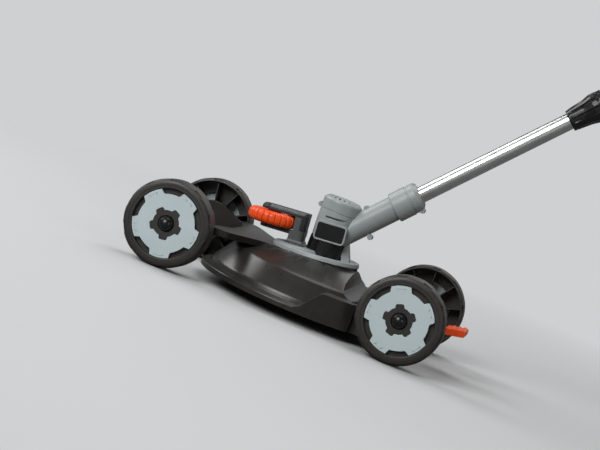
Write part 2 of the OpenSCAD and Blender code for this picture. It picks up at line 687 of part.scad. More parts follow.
cap_z = head_z + barrel_h;
cap_r = barrel_r + 0.7;
waist_r = barrel_r - 2;
can_z = head_z + neck_h - 7;
can_h = 50;
bush_r = 6;
bush_h = 3;
fan_r = cap_r - 7;
fan_blades = 9;
cap_vents = 20;
plate_mid_z = head_z + neck_h + 13;
pad_y = barrel_r + 2;
pad_border = 2.5;
plate_t = 1.5;
plate_x = -2;
screw_r = 1.5;
boss_r = 4;
boss_half = 8;
// Places of the screws that hold the housing halves, in the frame of the shaft or on the barrel
module at_screws() {
    translate([barrel_r + 1, 0, cap_z + 2]) children();
    on_tube(75) translate([socket_r - 0.5, 0, 0]) children();
    on_tube(60) translate([-socket_r - 4, 0, 0]) children();
    on_tube(collar_end - 5) translate([collar_r - 5, 0, 0]) children();
    on_tube(collar_end - 8) translate([-collar_r + 0.5, 0, 0]) children();
}
module neck_collar() color(black) place() difference() {
    translate([0, 0, head_z - 10]) cylinder(r = neck_r, h = neck_h + 10);
    on_seat(seat_gap + guard_t - 2 - far) cylinder(r = far, h = far);
    lip();
    translate([0, 0, can_z]) cylinder(r = can_r + run_fit, h = far);
    translate([0, 0, -over]) cylinder(r = bush_r + 1, h = far);
}
// Frame of the bare plate: its face on z = 0, and depth along +Z into the housing
module on_plate() translate([plate_x, pad_y, plate_mid_z]) rotate([0, seat_tilt, 0]) rotate([90, 0, 0]) children();
module plate_outline(grow) polygon(rounded([for (sx = [-1, 1], sy = [-sx, sx])
    [sx * (plate_w / 2 + grow), sy * (plate_h / 2 + grow), 3 + grow]]));
module housing_outer() {
    rotate_extrude() polygon(rounded([
        [0, head_z + neck_h, 0], [waist_r, head_z + neck_h, 2], [barrel_r, head_z + neck_h + 30, 20],
        [barrel_r, cap_z, 0], [0, cap_z, 0]]));
    on_tube() {
        cylinder(r = socket_r, h = collar_start + over);
        translate([0, 0, collar_start]) rotate_extrude() polygon(rounded([
            [0, 0, 0], [collar_r, 0, 1.5], [collar_r, 26, 0], [collar_r - 1.2, 26, 0], [collar_r - 1.2, 28.5, 0],
            [collar_r - 0.5, 28.5, 0], [collar_r - 0.5, collar_end - collar_start - 5, 3],
            [tube_r + 3, collar_end - collar_start, 1.5], [0, collar_end - collar_start, 0]]));
    }
    side_plate([[-barrel_r + 8, cap_z - 1, 0], [-barrel_r + 8, elbow_z, 0], [-socket_r * 2.9, elbow_z + 45, 0],
                [-socket_r * 2.1, cap_z + 9, 4]], -7, 7);
    at_screws() across(boss_r, -boss_half, boss_half);
    on_tube(60) translate([-socket_r - boss_r, -boss_half, -boss_r / 2]) cube([2 * boss_r, 2 * boss_half, boss_r]);
    on_plate() linear_extrude(pad_y) plate_outline(pad_border);
}
module housing_inner() {
    rotate_extrude() polygon([[0, head_z], [can_r + run_fit, head_z], [can_r + run_fit, can_z + 14],
        [waist_r - housing_wall, can_z + 18], [barrel_r - housing_wall, cap_z - 14], [can_r + run_fit, cap_z - 10],
        [can_r + run_fit, cap_z - 5], [barrel_r - housing_wall, cap_z - 3],
        [barrel_r - housing_wall, cap_z + over], [0, cap_z + over]]);
    on_tube(tube_in) cylinder(r = tube_r + run_fit, h = far);
    on_plate() linear_extrude(plate_t) plate_outline(run_fit);
    translate([plate_x, 0, cap_z - 10]) rotate([0, seat_tilt, 0]) side_plate([[-16.5, -1.3, 1.2], [16.5, -1.3, 1.2],
        [16.5, 1.3, 1.2], [-16.5, 1.3, 1.2]], can_r + 2, far);
    at_screws() {
        across(screw_r + run_fit, -boss_half - over, boss_half - 1.5);
        across(2 * screw_r + 0.2, -far, -boss_half);
    }
}
tube_in = 64;
module housing_half(side) color(body_grey) place() difference() {
    housing_outer();
    housing_inner();
    cap_shell(-slide_gap / 3);
    translate([0, 0, head_z - neck_h]) cylinder(r = neck_r + run_fit, h = 2 * neck_h);
    mirror([0, side > 0 ? 0 : 1, 0]) translate([-far, -2 * far, -far]) cube(2 * far);
}
module cap_shell(gap) translate([0, 0, cap_z]) rotate_extrude() polygon(rounded([
    [0, gap, 0], [cap_r - gap, gap, 0], [cap_r - gap, cap_h - 5, 5], [cap_r - 6, cap_h - gap, 4], [0, cap_h - gap, 0]]));
module motor_cap() color(body_grey) place() difference() {
    cap_shell(0);
    translate([0, 0, cap_z - over]) cylinder(r = barrel_r - housing_wall, h = cap_h - 3 + over);
    for (i = [0:cap_vents - 1]) rotate((i + 0.5) * 360 / cap_vents)
        translate([cap_r - 12, -1.3, cap_z + cap_h - 5]) cube([8, 2.6, far]);
    at_screws() across(boss_r + 0.2, -boss_half - 3, boss_half + 0.2);
}
module blank_plate() color(black) place() on_plate() translate([0, 0, 0.5])
    linear_extrude(plate_t - 0.5) plate_outline(0);
module housing_screws() color(steel) place() at_screws() {
    across(screw_r, -boss_half, boss_half - 2);
    across(2 * screw_r, -boss_half - 1.6, -boss_half);
}
module motor_can() color(steel) place() translate([0, 0, can_z]) difference() {
    cylinder(r = can_r, h = can_h);
    translate([0, 0, -over]) cylinder(r = bush_r - 2, h = can_h + 2 * over);
    for (z = [-over, can_h - bush_h]) translate([0, 0, z]) cylinder(r = bush_r + run_fit, h = bush_h + over);
}
module shaft_bushes() color(brass) place() for (z = [can_z, can_z + can_h - bush_h])
    translate([0, 0, z]) tube(bush_r, shaft_d / 2 + run_fit, bush_h);

// Turning group on the motor shaft

hub_top = seat_z - 12;
hub_floor = line_z - 4;
hub_wall = 2.5;
cap_low = line_z - 9;
fan_z = can_z + can_h + 4;
spool_core_r = 14;
spool_out_r = spool_r - hub_wall - 2;
module motor_shaft() color(steel) place() translate([0, 0, hub_floor + 6])
    cylinder(d = shaft_d, h = fan_z + 8 - hub_floor - 6);
module cooling_fan() color(dark_grey) place() translate([0, 0, fan_z]) difference() {
    union() {
        cylinder(r = 7, h = 7);
        cylinder(r = fan_r, h = 1.5);
        for (i = [0:fan_blades - 1]) rotate(i * 360 / fan_blades) translate([6, -0.7, 0]) cube([fan_r - 6.5, 1.4, 6]);
    }
    translate([0, 0, -over]) cylinder(d = shaft_d, h = 10);
}
module line_holes(r) for (side = [-1, 1]) translate([0, 0, line_z])
    across(r, side > 0 ? 0 : -spool_r - over, side > 0 ? spool_r + over : 0);
module spool_hub() color(black) place() difference() {
    rotate_extrude() polygon(rounded([
        [0, hub_top, 0], [spool_r - 12, hub_top, 4], [spool_r, hub_top - 12, 8], [spool_r, hub_floor, 0],
        [spool_r - hub_wall, hub_floor, 0], [spool_r - hub_wall, hub_top - 13, 6], [spool_r - 13, hub_top - 4, 3],
        [spool_core_r - 5, hub_top - 4, 0], [spool_core_r - 5, hub_floor + 6, 0], [0, hub_floor + 6, 0]]));
    cylinder(d = shaft_d, h = far);
    difference() {
        line_holes(eyelet_r + run_fit);
        cylinder(r = spool_r - hub_wall - over, h = far);
    }
}
eyelet_r = 3;
module line_spool() color(body_grey) place() {
    low = cap_low + 4 + slide_gap;
    translate([0, 0, low]) tube(spool_out_r, spool_core_r - 5 + 0.1, 2);
    translate([0, 0, low]) tube(spool_core_r, spool_core_r - 5 + 0.1, hub_top - 16 - low);
    translate([0, 0, hub_top - 18]) tube(spool_out_r, spool_core_r - 5 + 0.1, 2);
}
module wound_line() color(orange) place() translate([0, 0, cap_low + 6 + slide_gap])
    tube(spool_out_r - 4, spool_core_r, hub_top - 24 - cap_low - slide_gap);
module line_ends() color(orange) place() for (side = [-1, 1]) translate([0, 0, line_z])
    across(line_d / 2, side > 0 ? spool_out_r - 3.9 : -line_reach, side > 0 ? line_reach : -spool_out_r + 3.9);
module line_eyelets() color(steel) place() for (side = [-1, 1]) translate([0, 0, line_z]) difference() {
    union() {
        across(eyelet_r, side > 0 ? spool_r - hub_wall : -spool_r - 1, side > 0 ? spool_r + 1 : -spool_r + hub_wall);
        across(eyelet_r + 1.5, side > 0 ? spool_r + 0.4 : -spool_r - 1.4, side > 0 ? spool_r + 1.4 : -spool_r - 0.4);
    }
    across(line_d / 2 + 0.3, -far, far);
}
module spool_cap() color(black) place() {
    grip_r = 12;
    difference() {
        rotate_extrude() polygon(rounded([
            [0, cap_low - 4, 0], [spool_r * 0.55, cap_low - 4, 6], [spool_r - 1, cap_low + 1, 3], [spool_r, hub_floor, 0],
            [spool_r - hub_wall, hub_floor, 0], [spool_r - hub_wall - 1, cap_low + 4, 2], [0, cap_low + 4, 0]]));
        for (i = [0:5]) rotate(i * 60 + 30) translate([spool_r + 6, 0, cap_low - 5]) cylinder(r = grip_r, h = 6);
    }
}

// Telescopic shaft

lower_end = tube_in + lower_tube_len;
collet_len = 18;
nut_lip = 4.5;
collet_r = upper_r + 1.6;
nut_flutes = 16;
upper_end = handle_start + 80;
module lower_tube() color(bright) place() on_tube(tube_in) tube(tube_r, tube_r - tube_wall, lower_tube_len);
module tube_collet() color(black) place() on_tube(nut_start + nut_lip + slide_gap) difference() {
    tube(collet_r, tube_r + slide_gap, collet_len);
    for (i = [0:1]) rotate(i * 90) translate([-far, -1, 6]) cube([2 * far, 2, far]);
}
module lock_nut() color(black) place() on_tube(nut_start) difference() {
    rotate_extrude() polygon(rounded([
        [tube_r + 2 * slide_gap, 0, 0], [collet_r + 0.4, 0, 1.5], [collet_r + 3, 26, 20], [collet_r + 6.5, 40, 3],
        [collet_r + 6.5, nut_len, 2.5], [upper_r + slide_gap, nut_len, 0], [upper_r + slide_gap, 28, 0],
        [collet_r + slide_gap - 2.2, 26, 0], [collet_r + slide_gap - 2.2, 25, 0],
        [tube_r + 2 * slide_gap, nut_lip, 0]]));
    tube_cavity();
    for (i = [0:nut_flutes - 1]) rotate(i * 360 / nut_flutes) translate([collet_r + 5.2, 0, 3])
        cylinder(r = 2, h = 31);
    for (i = [0:nut_flutes - 1]) rotate(i * 360 / nut_flutes) translate([collet_r + 7.6, 0, 44])
        cylinder(r = 2, h = nut_len);
}
module tube_cavity() translate([0, 0, nut_lip])
    cylinder(r = collet_r + slide_gap - 0.2, h = collet_len + 2 * slide_gap + 4);
module upper_tube() color(dark_grey) place() on_tube(upper_start)
    tube(upper_r, upper_bore_r, upper_end - upper_start);

// Assist handle, standing upright on a clamp round the upper tube

clamp_len = 36;
clamp_r = upper_r + 7;
pivot_up = clamp_r + 11;
ear_half = 11;
assist_ear_t = 7;
hub_r = 13;
hub_out = ear_half + slide_gap + 9;
bolt_r = 3;
bar_low = 34;
bend_low = 16;
bend_high = 24;
assist_grip_r = 11.5;
knob_len = 13;
module at_assist() on_tube(assist_at) translate([pivot_up, 0, 0]) rotate([0, 90 - tube_angle, 0]) children();
module assist_clamp() color(dark_grey) place() difference() {
    on_tube(assist_at) {
        translate([0, 0, -clamp_len / 2]) cylinder(r = clamp_r, h = clamp_len);
        side_plate([[0, -12, 0], [pivot_up, -hub_r, hub_r - 2], [pivot_up + hub_r - 1, 0, 8],
                    [pivot_up, hub_r, hub_r - 2], [0, 12, 0]], -ear_half, ear_half);
    }
    on_tube(assist_at) translate([0, 0, -far]) cylinder(r = upper_r + run_fit, h = 2 * far);
    at_assist() across(bolt_r + run_fit, -far, far);
}
module assist_handle() color(dark_grey) place() at_assist() difference() {
    union() {
        both_sides() {
            across(hub_r, ear_half + slide_gap, hub_out);
            side_plate([[-assist_bar_r, 0, 0], [assist_bar_r, 0, 0], [assist_bar_r, bar_low, 0],
                        [-assist_bar_r, bar_low, 0]], ear_half + slide_gap, hub_out);
            translate([0, assist_half - bend_low, bar_low + bend_low]) rotate([0, 90, 0])
                rotate_extrude(angle = 90) translate([bend_low, 0]) circle(r = assist_bar_r);
            translate([0, assist_half, bar_low + bend_low])
                cylinder(r = assist_bar_r, h = assist_h - bar_low - bend_low - bend_high);
            translate([0, assist_half - bend_high, assist_h - bend_high]) rotate([0, 90, 0]) rotate([0, 0, 90])
                rotate_extrude(angle = 90) translate([bend_high, 0]) circle(r = assist_bar_r);
        }
        translate([0, 0, bar_low]) across(assist_bar_r, -assist_half + bend_low, assist_half - bend_low);
        translate([0, 0, assist_h]) across(assist_bar_r, -assist_half + bend_high, assist_half - bend_high);
    }
    across(bolt_r + run_fit, -far, far);
}
module assist_grip() color(black) place() at_assist() translate([0, 0, assist_h]) rotate([90, 0, 0]) {
    half = assist_half - bend_high;
    difference() {
        rotate_extrude() polygon(rounded([
            [assist_bar_r + run_fit, -half, 0], [assist_grip_r - 1, -half, 1.5], [assist_grip_r + 1, 0, 60],
            [assist_grip_r - 1, half, 1.5], [assist_bar_r + run_fit, half, 0]]));
        for (i = [-3:3]) translate([0, 0, i * half / 4]) rotate_extrude()
            translate([assist_grip_r + 1.4, 0]) circle(r = 1.2);
    }
}
module assist_bolt() color(steel) place() at_assist() {
    across(bolt_r, -hub_out, hub_out + knob_len - 3);
    across(2 * bolt_r, -hub_out - 4, -hub_out);
}
module assist_knob() color(black) place() at_assist() difference() {
    across(16, hub_out + slide_gap, hub_out + knob_len);
    for (i = [0:7]) rotate([0, i * 45, 0]) translate([17.5, 0, 0])
        across(4, hub_out, hub_out + knob_len + over);
    across(bolt_r, 0, hub_out + knob_len - 3);
}

// Main handle, with the shaft's axis along its length

ring_points = 28;
ring_power = 0.8;
loft_steps = 3;
// Stations along the handle: distance from its front, middle's height, half height and half width
stations = [[0, 0, 20, 19], [34, 0, 21, 20], [74, -3, 26, 20.5], [104, -2, 27, 20], [136, 4, 20, 17.5],
            [176, 8, 18, 16.5], [216, 8, 18, 16.5], [252, 6, 21, 18], [286, 2, 25, 20], [312, 0, 24, 19],
            [handle_len, 0, handle_end_half, 15]];
function smooth(a, b, t) = a + (b - a) * (3 - 2 * t) * t * t;
function blend(i, t) = [for (k = [0:3]) k == 0 ? stations[i][0] + (stations[i + 1][0] - stations[i][0]) * t :
                        smooth(stations[i][k], stations[i + 1][k], t)];
function signed_power(v) = sign(v) * pow(abs(v), ring_power);
function handle_ring(q) = [for (j = [0:ring_points - 1]) let (a = -360 * j / ring_points)
    [q[1] + q[2] * signed_power(cos(a)), q[3] * signed_power(sin(a)), q[0]]];
trigger_at = handle_start + 118;
trigger_top = -8;
pin_r = 2;
lock_at = handle_start + 96;
lock_r = 6;
lock_rise = 4;
lock_low = 8;
lock_top = 25;
inlet_w = 26;
inlet_h = 21;
inlet_depth = 18;
switch_len = 40;
module at_handle_screws() for (p = [[20, 17], [20, -17], [110, 17], [240, 16], [276, -19]])
    on_tube(handle_start + p.x) translate([p.y, 0, 0]) children();
module handle_half(side) color(body_grey) place() difference() {
    on_tube(handle_start) loft(concat(
        [for (i = [0:len(stations) - 2], k = [0:loft_steps - 1]) handle_ring(blend(i, k / loft_steps))],
        [handle_ring(stations[len(stations) - 1])]));
    mirror([0, side > 0 ? 0 : 1, 0]) translate([-far * 2, -4 * far, -far]) cube(4 * far);
    on_tube(handle_start - over) cylinder(r = upper_r + run_fit, h = upper_end - handle_start + over);
    on_tube(trigger_at - 6) translate([-far, -trigger_w / 2 - slide_gap, 0])
        cube([far + trigger_top + 8, trigger_w + 2 * slide_gap, trigger_len + 10]);
    on_tube(trigger_at + 14) translate([trigger_top - over, -8, 0]) cube([16 + over, 16, switch_len]);
    on_tube(trigger_at) translate([-16, 0, 0]) across(pin_r + run_fit, -12, 12);
    on_tube(lock_at) translate([lock_low, 0, 0]) rotate([0, 90, 0]) cylinder(r = lock_r + slide_gap, h = far);
    on_tube(handle_end - inlet_depth) translate([-inlet_w / 2, -inlet_h / 2, 0]) cube([inlet_w, inlet_h, far]);
    at_handle_screws() across(screw_r + run_fit, -far, far);
    at_handle_screws() across(3.4, 8.5, far);
}
module handle_screws() color(steel) place() at_handle_screws() {
    across(screw_r, -9, 8.5);
    across(3, 8.5, 10);
}
module trigger() color(orange) place() on_tube(trigger_at) difference() {
    side_plate([[-21, -4.5, 3.5], [-10.5, -4.5, 3.5], [trigger_top - 2, trigger_len - 4, 3],
                [trigger_top - 7, trigger_len, 3], [-19, trigger_len - 12, 14], [-24, trigger_len * 0.45, 20],
                [-27, 12, 10]], -trigger_w / 2, trigger_w / 2);
    translate([-16, 0, 0]) across(pin_r + run_fit, -far, far);
    translate([trigger_top - 4.8, 0, 34]) rotate([0, 90, 0]) cylinder(r = 3.9, h = far);
}
module trigger_pin() color(steel) place() on_tube(trigger_at) translate([-16, 0, 0]) across(pin_r, -12, 12);
module switch_box() color(dark_grey) place() on_tube(trigger_at + 14 + slide_gap)
    translate([trigger_top + 4, -8 + slide_gap, 0]) cube([12 - slide_gap, 16 - 2 * slide_gap, switch_len - 2 * slide_gap]);
module trigger_spring() color(steel) place() on_tube(trigger_at + 34) translate([trigger_top - 4.6, 0, 0])
    rotate([0, 90, 0]) coil_spring(3, 0.5, 5, 8.2);
module lock_button() color(orange) place() on_tube(lock_at) translate([lock_low + lock_rise + slide_gap, 0, 0])
    rotate([0, 90, 0]) {
        cylinder(r = lock_r, h = lock_top - lock_low - lock_rise);
        translate([0, 0, lock_top - lock_low - lock_rise]) cylinder(r1 = lock_r, r2 = lock_r - 2, h = 4);
    }
module lock_spring() color(steel) place() on_tube(lock_at) translate([lock_low, 0, 0]) rotate([0, 90, 0])
    coil_spring(4, 0.5, 3, lock_rise);
module mains_inlet() color(black) place() on_tube(handle_end - inlet_depth) difference() {
    translate([-inlet_w / 2, -inlet_h / 2, 0]) cube([inlet_w, inlet_h, inlet_depth]);
    translate([-inlet_w / 2 + 3, -inlet_h / 2 + 3, 4]) cube([inlet_w - 6, inlet_h - 6, far]);
    for (x = blade_places) translate([x - blade_t / 2, -blade_w / 2, 1]) cube([blade_t, blade_w, far]);
}
blade_t = 1.5;
blade_w = 6.3;
blade_places = [-6.35, 6.35];
module inlet_blades() color(brass) place() on_tube(handle_end - inlet_depth) for (x = blade_places)
    translate([x - blade_t / 2, -blade_w / 2, 1]) cube([blade_t, blade_w, inlet_depth - 3]);

deck_shell();
axle_carriers();
line_cutter();
cutter_screws();
pedal_pin();
pedal_spring();
foot_pedal();
axle(front_axle_x);  // front_axle
axle(rear_axle_x);  // rear_axle
for (side = [1, -1]) at_wheel(front_axle_x, side) ball_cap();  // front_axle_caps
for (side = [1, -1]) at_wheel(rear_axle_x, side) ball_cap();  // rear_axle_caps
at_wheel(front_axle_x, 1) rotate(front_turn) wheel();  // wheel_front_left
at_wheel(front_axle_x, -1) rotate(front_turn) wheel();  // wheel_front_right
at_wheel(rear_axle_x, 1) wheel();  // wheel_rear_left
at_wheel(rear_axle_x, -1) wheel();  // wheel_rear_right
at_wheel(front_axle_x, 1) rotate(front_turn) hubcap();  // hubcap_front_left
at_wheel(front_axle_x, -1) rotate(front_turn) hubcap();  // hubcap_front_right
at_wheel(rear_axle_x, 1) hubcap();  // hubcap_rear_left
at_wheel(rear_axle_x, -1) hubcap();  // hubcap_rear_right
guard();
guide_post();
guide_fork();
guide_wheel_pin();
guide_wheel();
neck_collar();
housing_half(1);  // motor_housing_left
housing_half(-1);  // motor_housing_right
motor_cap();
blank_plate();
housing_screws();
motor_can();
shaft_bushes();
motor_shaft();
cooling_fan();
spool_hub();
line_spool();
wound_line();
line_ends();
line_eyelets();
spool_cap();
lower_tube();
tube_collet();
lock_nut();
upper_tube();
assist_clamp();
assist_handle();
assist_grip();
assist_bolt();
assist_knob();
handle_half(1);  // handle_left
handle_half(-1);  // handle_right
handle_screws();
trigger();
trigger_pin();
trigger_spring();
lock_button();
lock_spring();
switch_box();
mains_inlet();
inlet_blades();
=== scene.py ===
"""Looks of a wheeled string trimmer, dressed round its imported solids.

Each sub-assembly is a class that rounds the edges of the solids it shows, adds its small parts and gives
every surface a finish. Lengths are in metres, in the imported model's frame: +X to the front wheels, +Y to
the left, +Z up.
"""

import json
import logging
import math
from abc import ABC, abstractmethod
from dataclasses import dataclass
from enum import Enum
from typing import Any, Iterable, Sequence

import bmesh
import bpy
from mathutils import Matrix, Vector
from mathutils.bvhtree import BVHTree


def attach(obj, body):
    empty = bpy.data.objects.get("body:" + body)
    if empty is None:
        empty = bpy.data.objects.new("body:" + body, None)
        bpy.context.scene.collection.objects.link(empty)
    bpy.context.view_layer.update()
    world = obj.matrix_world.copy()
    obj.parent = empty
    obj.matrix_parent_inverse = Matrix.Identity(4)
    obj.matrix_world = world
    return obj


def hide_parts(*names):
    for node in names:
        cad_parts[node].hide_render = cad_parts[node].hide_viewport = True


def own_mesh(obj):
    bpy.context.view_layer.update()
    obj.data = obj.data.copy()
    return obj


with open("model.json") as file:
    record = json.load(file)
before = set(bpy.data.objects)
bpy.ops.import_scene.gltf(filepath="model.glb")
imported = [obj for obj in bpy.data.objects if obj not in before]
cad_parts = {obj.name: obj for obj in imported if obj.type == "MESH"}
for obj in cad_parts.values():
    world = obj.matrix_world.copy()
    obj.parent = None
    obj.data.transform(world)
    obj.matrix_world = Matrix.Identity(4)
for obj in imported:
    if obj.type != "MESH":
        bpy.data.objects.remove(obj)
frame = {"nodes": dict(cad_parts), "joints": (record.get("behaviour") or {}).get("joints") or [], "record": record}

Colour = tuple[float, float, float]
Point = tuple[float, float, float]
Pair = tuple[float, float]
Shape = bmesh.types.BMesh
Socket = bpy.types.NodeSocket

LOG = logging.getLogger("trimmer")
MM = 0.001
FULL_TURN = 2.0 * math.pi
MERGE = 1e-6
TOUCH = 0.02 * MM
SHARP = math.radians(34.0)
FLAT = math.radians(0.4)
SMOOTH_LIMIT = math.radians(32.0)
EDGE_STEPS = 2
WHITE: Colour = (1.0, 1.0, 1.0)
DUST: Colour = (0.20, 0.17, 0.11)
SCUFFED_RUBBER: Colour = (0.09, 0.09, 0.09)


# Kinds of finish


class Graph:
    """A node tree of a material or of the world, with short calls to add and join nodes."""

    def __init__(self, owner: bpy.types.Material | bpy.types.World) -> None:
        """Starts an empty tree.

        Args:
            owner: Material or world that the tree belongs to.
        """
        owner.use_nodes = True
        self.owner = owner
        self.tree = owner.node_tree
        self.tree.nodes.clear()

    def add(self, kind: str, inputs: dict[Any, Any] | None = None, **settings: Any) -> bpy.types.Node:
        """Adds a node.

        Args:
            kind: Blender's name for the node type.
            inputs: Value or output socket for each input, by name or number.
            settings: Properties of the node itself.

        Returns:
            The new node.
        """
        made = self.tree.nodes.new(kind)
        for key, value in settings.items():
            setattr(made, key, value)
        for key, value in (inputs or {}).items():
            if isinstance(value, Socket):
                self.tree.links.new(value, made.inputs[key])
            else:
                made.inputs[key].default_value = value
        return made

    def place(self) -> Socket:
        """Object coordinates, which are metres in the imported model's frame."""
        return self.add("ShaderNodeTexCoord").outputs["Object"]

    def noise(self, place: Socket, size: float, detail: float = 2.0) -> Socket:
        """Soft random pattern.

        Args:
            place: Coordinates that it is laid on.
            size: Rough size of its spots.
            detail: Number of finer layers in it.

        Returns:
            The pattern, from 0 to 1.
        """
        inputs = {"Vector": place, "Scale": 1.0 / size, "Detail": detail, "Roughness": 0.55}
        return self.add("ShaderNodeTexNoise", inputs).outputs["Fac"]

    def cells(self, place: Socket, size: float) -> Socket:
        """Pebbled pattern.

        Args:
            place: Coordinates that it is laid on.
            size: Rough size of a pebble.

        Returns:
            The distance from the nearest pebble's middle, in pebbles.
        """
        inputs = {"Vector": place, "Scale": 1.0 / size}
        return self.add("ShaderNodeTexVoronoi", inputs, feature="F1").outputs["Distance"]

    def ranged(self, value: Socket, low: float, high: float, to_low: float = 0.0,
               to_high: float = 1.0) -> Socket:
        """Maps a value from one range to another, and holds it inside that.

        Args:
            value: Value to map.
            low: Start of the range it has.
            high: End of the range it has.
            to_low: Result at the start.
            to_high: Result at the end.

        Returns:
            The mapped value.
        """
        inputs = {"Value": value, "From Min": low, "From Max": high, "To Min": to_low, "To Max": to_high}
        return self.add("ShaderNodeMapRange", inputs).outputs["Result"]

    def number(self, operation: str, first: Any, second: Any) -> Socket:
        """Result of Blender's operation of that name on two numbers or sockets."""
        return self.add("ShaderNodeMath", {0: first, 1: second}, operation=operation).outputs[0]

    def product(self, first: Any, second: Any) -> Socket:
        """Product of two numbers or sockets."""
        return self.number("MULTIPLY", first, second)

    def vector(self, operation: str, first: Any, second: Any = None) -> Socket:
        """Works with vectors.

        Args:
            operation: Blender's name for the operation.
            first: First vector or socket.
            second: Second one, where the operation takes two.

        Returns:
            The result, which is a number for a length or a dot product.
        """
        inputs = {0: first} if second is None else {0: first, 1: second}
        made = self.add("ShaderNodeVectorMath", inputs, operation=operation)
        return made.outputs["Value" if operation in ("DOT_PRODUCT", "LENGTH") else "Vector"]

    def blend(self, share: Any, first: Any, second: Any) -> Socket:
        """Mixes two colours.

        Args:
            share: Share of the second colour, from 0 to 1.
            first: Colour or socket at 0.
            second: Colour or socket at 1.

        Returns:
            The mixed colour.
        """
        inputs = {0: share, 6: first, 7: second}
        return self.add("ShaderNodeMix", inputs, data_type="RGBA").outputs[2]

    def edges(self, radius: float) -> Socket:
        """How near a sharp edge is.

        Args:
            radius: Distance from an edge that it acts on.

        Returns:
            A value that is 1 on edges and 0 on even faces.
        """
        rounded = self.add("ShaderNodeBevel", {"Radius": radius}, samples=4).outputs["Normal"]
        true = self.add("ShaderNodeNewGeometry").outputs["Normal"]
        return self.ranged(self.vector("DOT_PRODUCT", rounded, true), 0.995, 0.8)

    def bump(self, height: Socket, depth: float) -> Socket:
        """Normal of a surface with fine relief.

        Args:
            height: Relief, from 0 to 1.
            depth: Depth of the relief.

        Returns:
            The normal.
        """
        return self.add("ShaderNodeBump", {"Height": height, "Distance": depth}).outputs["Normal"]

    def seen(self) -> Socket:
        """1 for what the camera sees, straight or in gloss and glass, and 0 for light on surfaces."""
        path = self.add("ShaderNodeLightPath").outputs
        direct = self.number("MAXIMUM", path["Is Camera Ray"], path["Is Glossy Ray"])
        return self.number("MAXIMUM", direct, path["Is Transmission Ray"])

    def close(self, shader: bpy.types.Node) -> bpy.types.Material | bpy.types.World:
        """Joins a shader to the output and returns the tree's owner."""
        kind = "World" if isinstance(self.owner, bpy.types.World) else "Material"
        output = self.add(f"ShaderNodeOutput{kind}")
        self.tree.links.new(shader.outputs[0], output.inputs["Surface"])
        return self.owner


def rgba(colour: Colour, gain: float = 1.0) -> tuple[float, float, float, float]:
    """Colour with a gain and full alpha, as sockets take it."""
    return tuple(min(1.0, c * gain) for c in colour) + (1.0,)


@dataclass(frozen=True)
class Finish(ABC):
    """A surface finish.

    Attributes:
        name: Name of its material.
        colour: Linear base colour.
        roughness: Roughness of its gloss.
    """

    name: str
    colour: Colour
    roughness: float

    @abstractmethod
    def shade(self, graph: Graph) -> bpy.types.Node:
        """Builds the shader in a graph and returns it."""

    def material(self) -> bpy.types.Material:
        """The finish's material, made once."""
        found = bpy.data.materials.get(self.name)
        if found:
            return found
        graph = Graph(bpy.data.materials.new(self.name))
        return graph.close(self.shade(graph))


class Soil(Enum):
    """Where dust from the ground settles on a surface."""

    CLEAN = "clean"
    LOW = "near the ground"
    TREAD = "round a wheel's tread"


@dataclass(frozen=True)
class Moulded(Finish):
    """Moulded plastic with fine grain, slow colour drift, edges paled by wear and by painted highlight, and a
    little dust.

    Attributes:
        grain: Size of the moulded grain.
        depth: Depth of the grain.
        drift: Share by which the colour wanders.
        rub_and_highlight: Share of paler colour on edges, for wear and as painted highlight.
        rounding: Radius over which edges are painted paler, where they would catch light.
        specular: Strength of its gloss.
        soil: Where dust settles.
        centre: Point on the wheel's axle, for dust on a tread.
        low_dust: Heights between which dust near the ground fades out.
        tread_dust: Radii between which dust on a tread sets in.
    """

    grain: float = 0.8 * MM
    depth: float = 0.003 * MM
    drift: float = 0.12
    # Share of paler colour on edges: partly wear, partly painted highlight.
    rub_and_highlight: float = 0.12
    rounding: float = 0.6 * MM
    specular: float = 0.5
    soil: Soil = Soil.CLEAN
    centre: Point = (0.0, 0.0, 0.0)
    low_dust: Pair = (16.0 * MM, 50.0 * MM)
    tread_dust: Pair = (56.0 * MM, 65.0 * MM)

    def dust(self, graph: Graph, place: Socket) -> Socket:
        """Share of dust over the surface.

        Args:
            graph: Graph that it is built in.
            place: Coordinates on the piece.

        Returns:
            The share, from 0 to about 0.1.
        """
        patches = graph.ranged(graph.noise(place, 9.0 * MM, 5.0), 0.42, 0.72)
        if self.soil is Soil.LOW:
            height = graph.add("ShaderNodeSeparateXYZ", {0: place}).outputs["Z"]
            return graph.product(graph.ranged(height, *self.low_dust, 0.06, 0.0), patches)
        away = graph.vector("SUBTRACT", place, self.centre)
        reach = graph.vector("LENGTH", graph.vector("MULTIPLY", away, (1.0, 0.0, 1.0)))
        return graph.product(graph.ranged(reach, *self.tread_dust, 0.01, 0.12), patches)

    def shade(self, graph: Graph) -> bpy.types.Node:
        """Builds the plastic's shader."""
        place = graph.place()
        slow = graph.ranged(graph.noise(place, 46.0 * MM, 4.0), 0.3, 0.7)
        speck = graph.noise(place, 1.7 * MM, 3.0)
        base = graph.blend(slow, rgba(self.colour, 1.0 - self.drift), rgba(self.colour, 1.0 + self.drift))
        # Edges are painted paler: partly wear, partly painted highlight where edges would catch light.
        worn_and_lit_edges = graph.product(graph.edges(self.rounding),
                             graph.ranged(speck, 0.35, 0.65, 0.15 * self.rub_and_highlight, self.rub_and_highlight))
        pale = tuple(0.85 * c + 0.06 for c in self.colour)
        base = graph.blend(worn_and_lit_edges, base, rgba(pale))
        roughness = graph.ranged(graph.noise(place, 14.0 * MM, 3.0), 0.3, 0.7, self.roughness - 0.02,
                                 self.roughness + 0.03)
        if self.soil is not Soil.CLEAN:
            share = self.dust(graph, place)
            base = graph.blend(share, base, rgba(DUST))
            roughness = graph.number("ADD", roughness, share)
        return graph.add("ShaderNodeBsdfPrincipled", {
            "Base Color": base, "Roughness": roughness, "Specular IOR Level": self.specular,
            "Normal": graph.bump(graph.noise(place, self.grain), self.depth)})


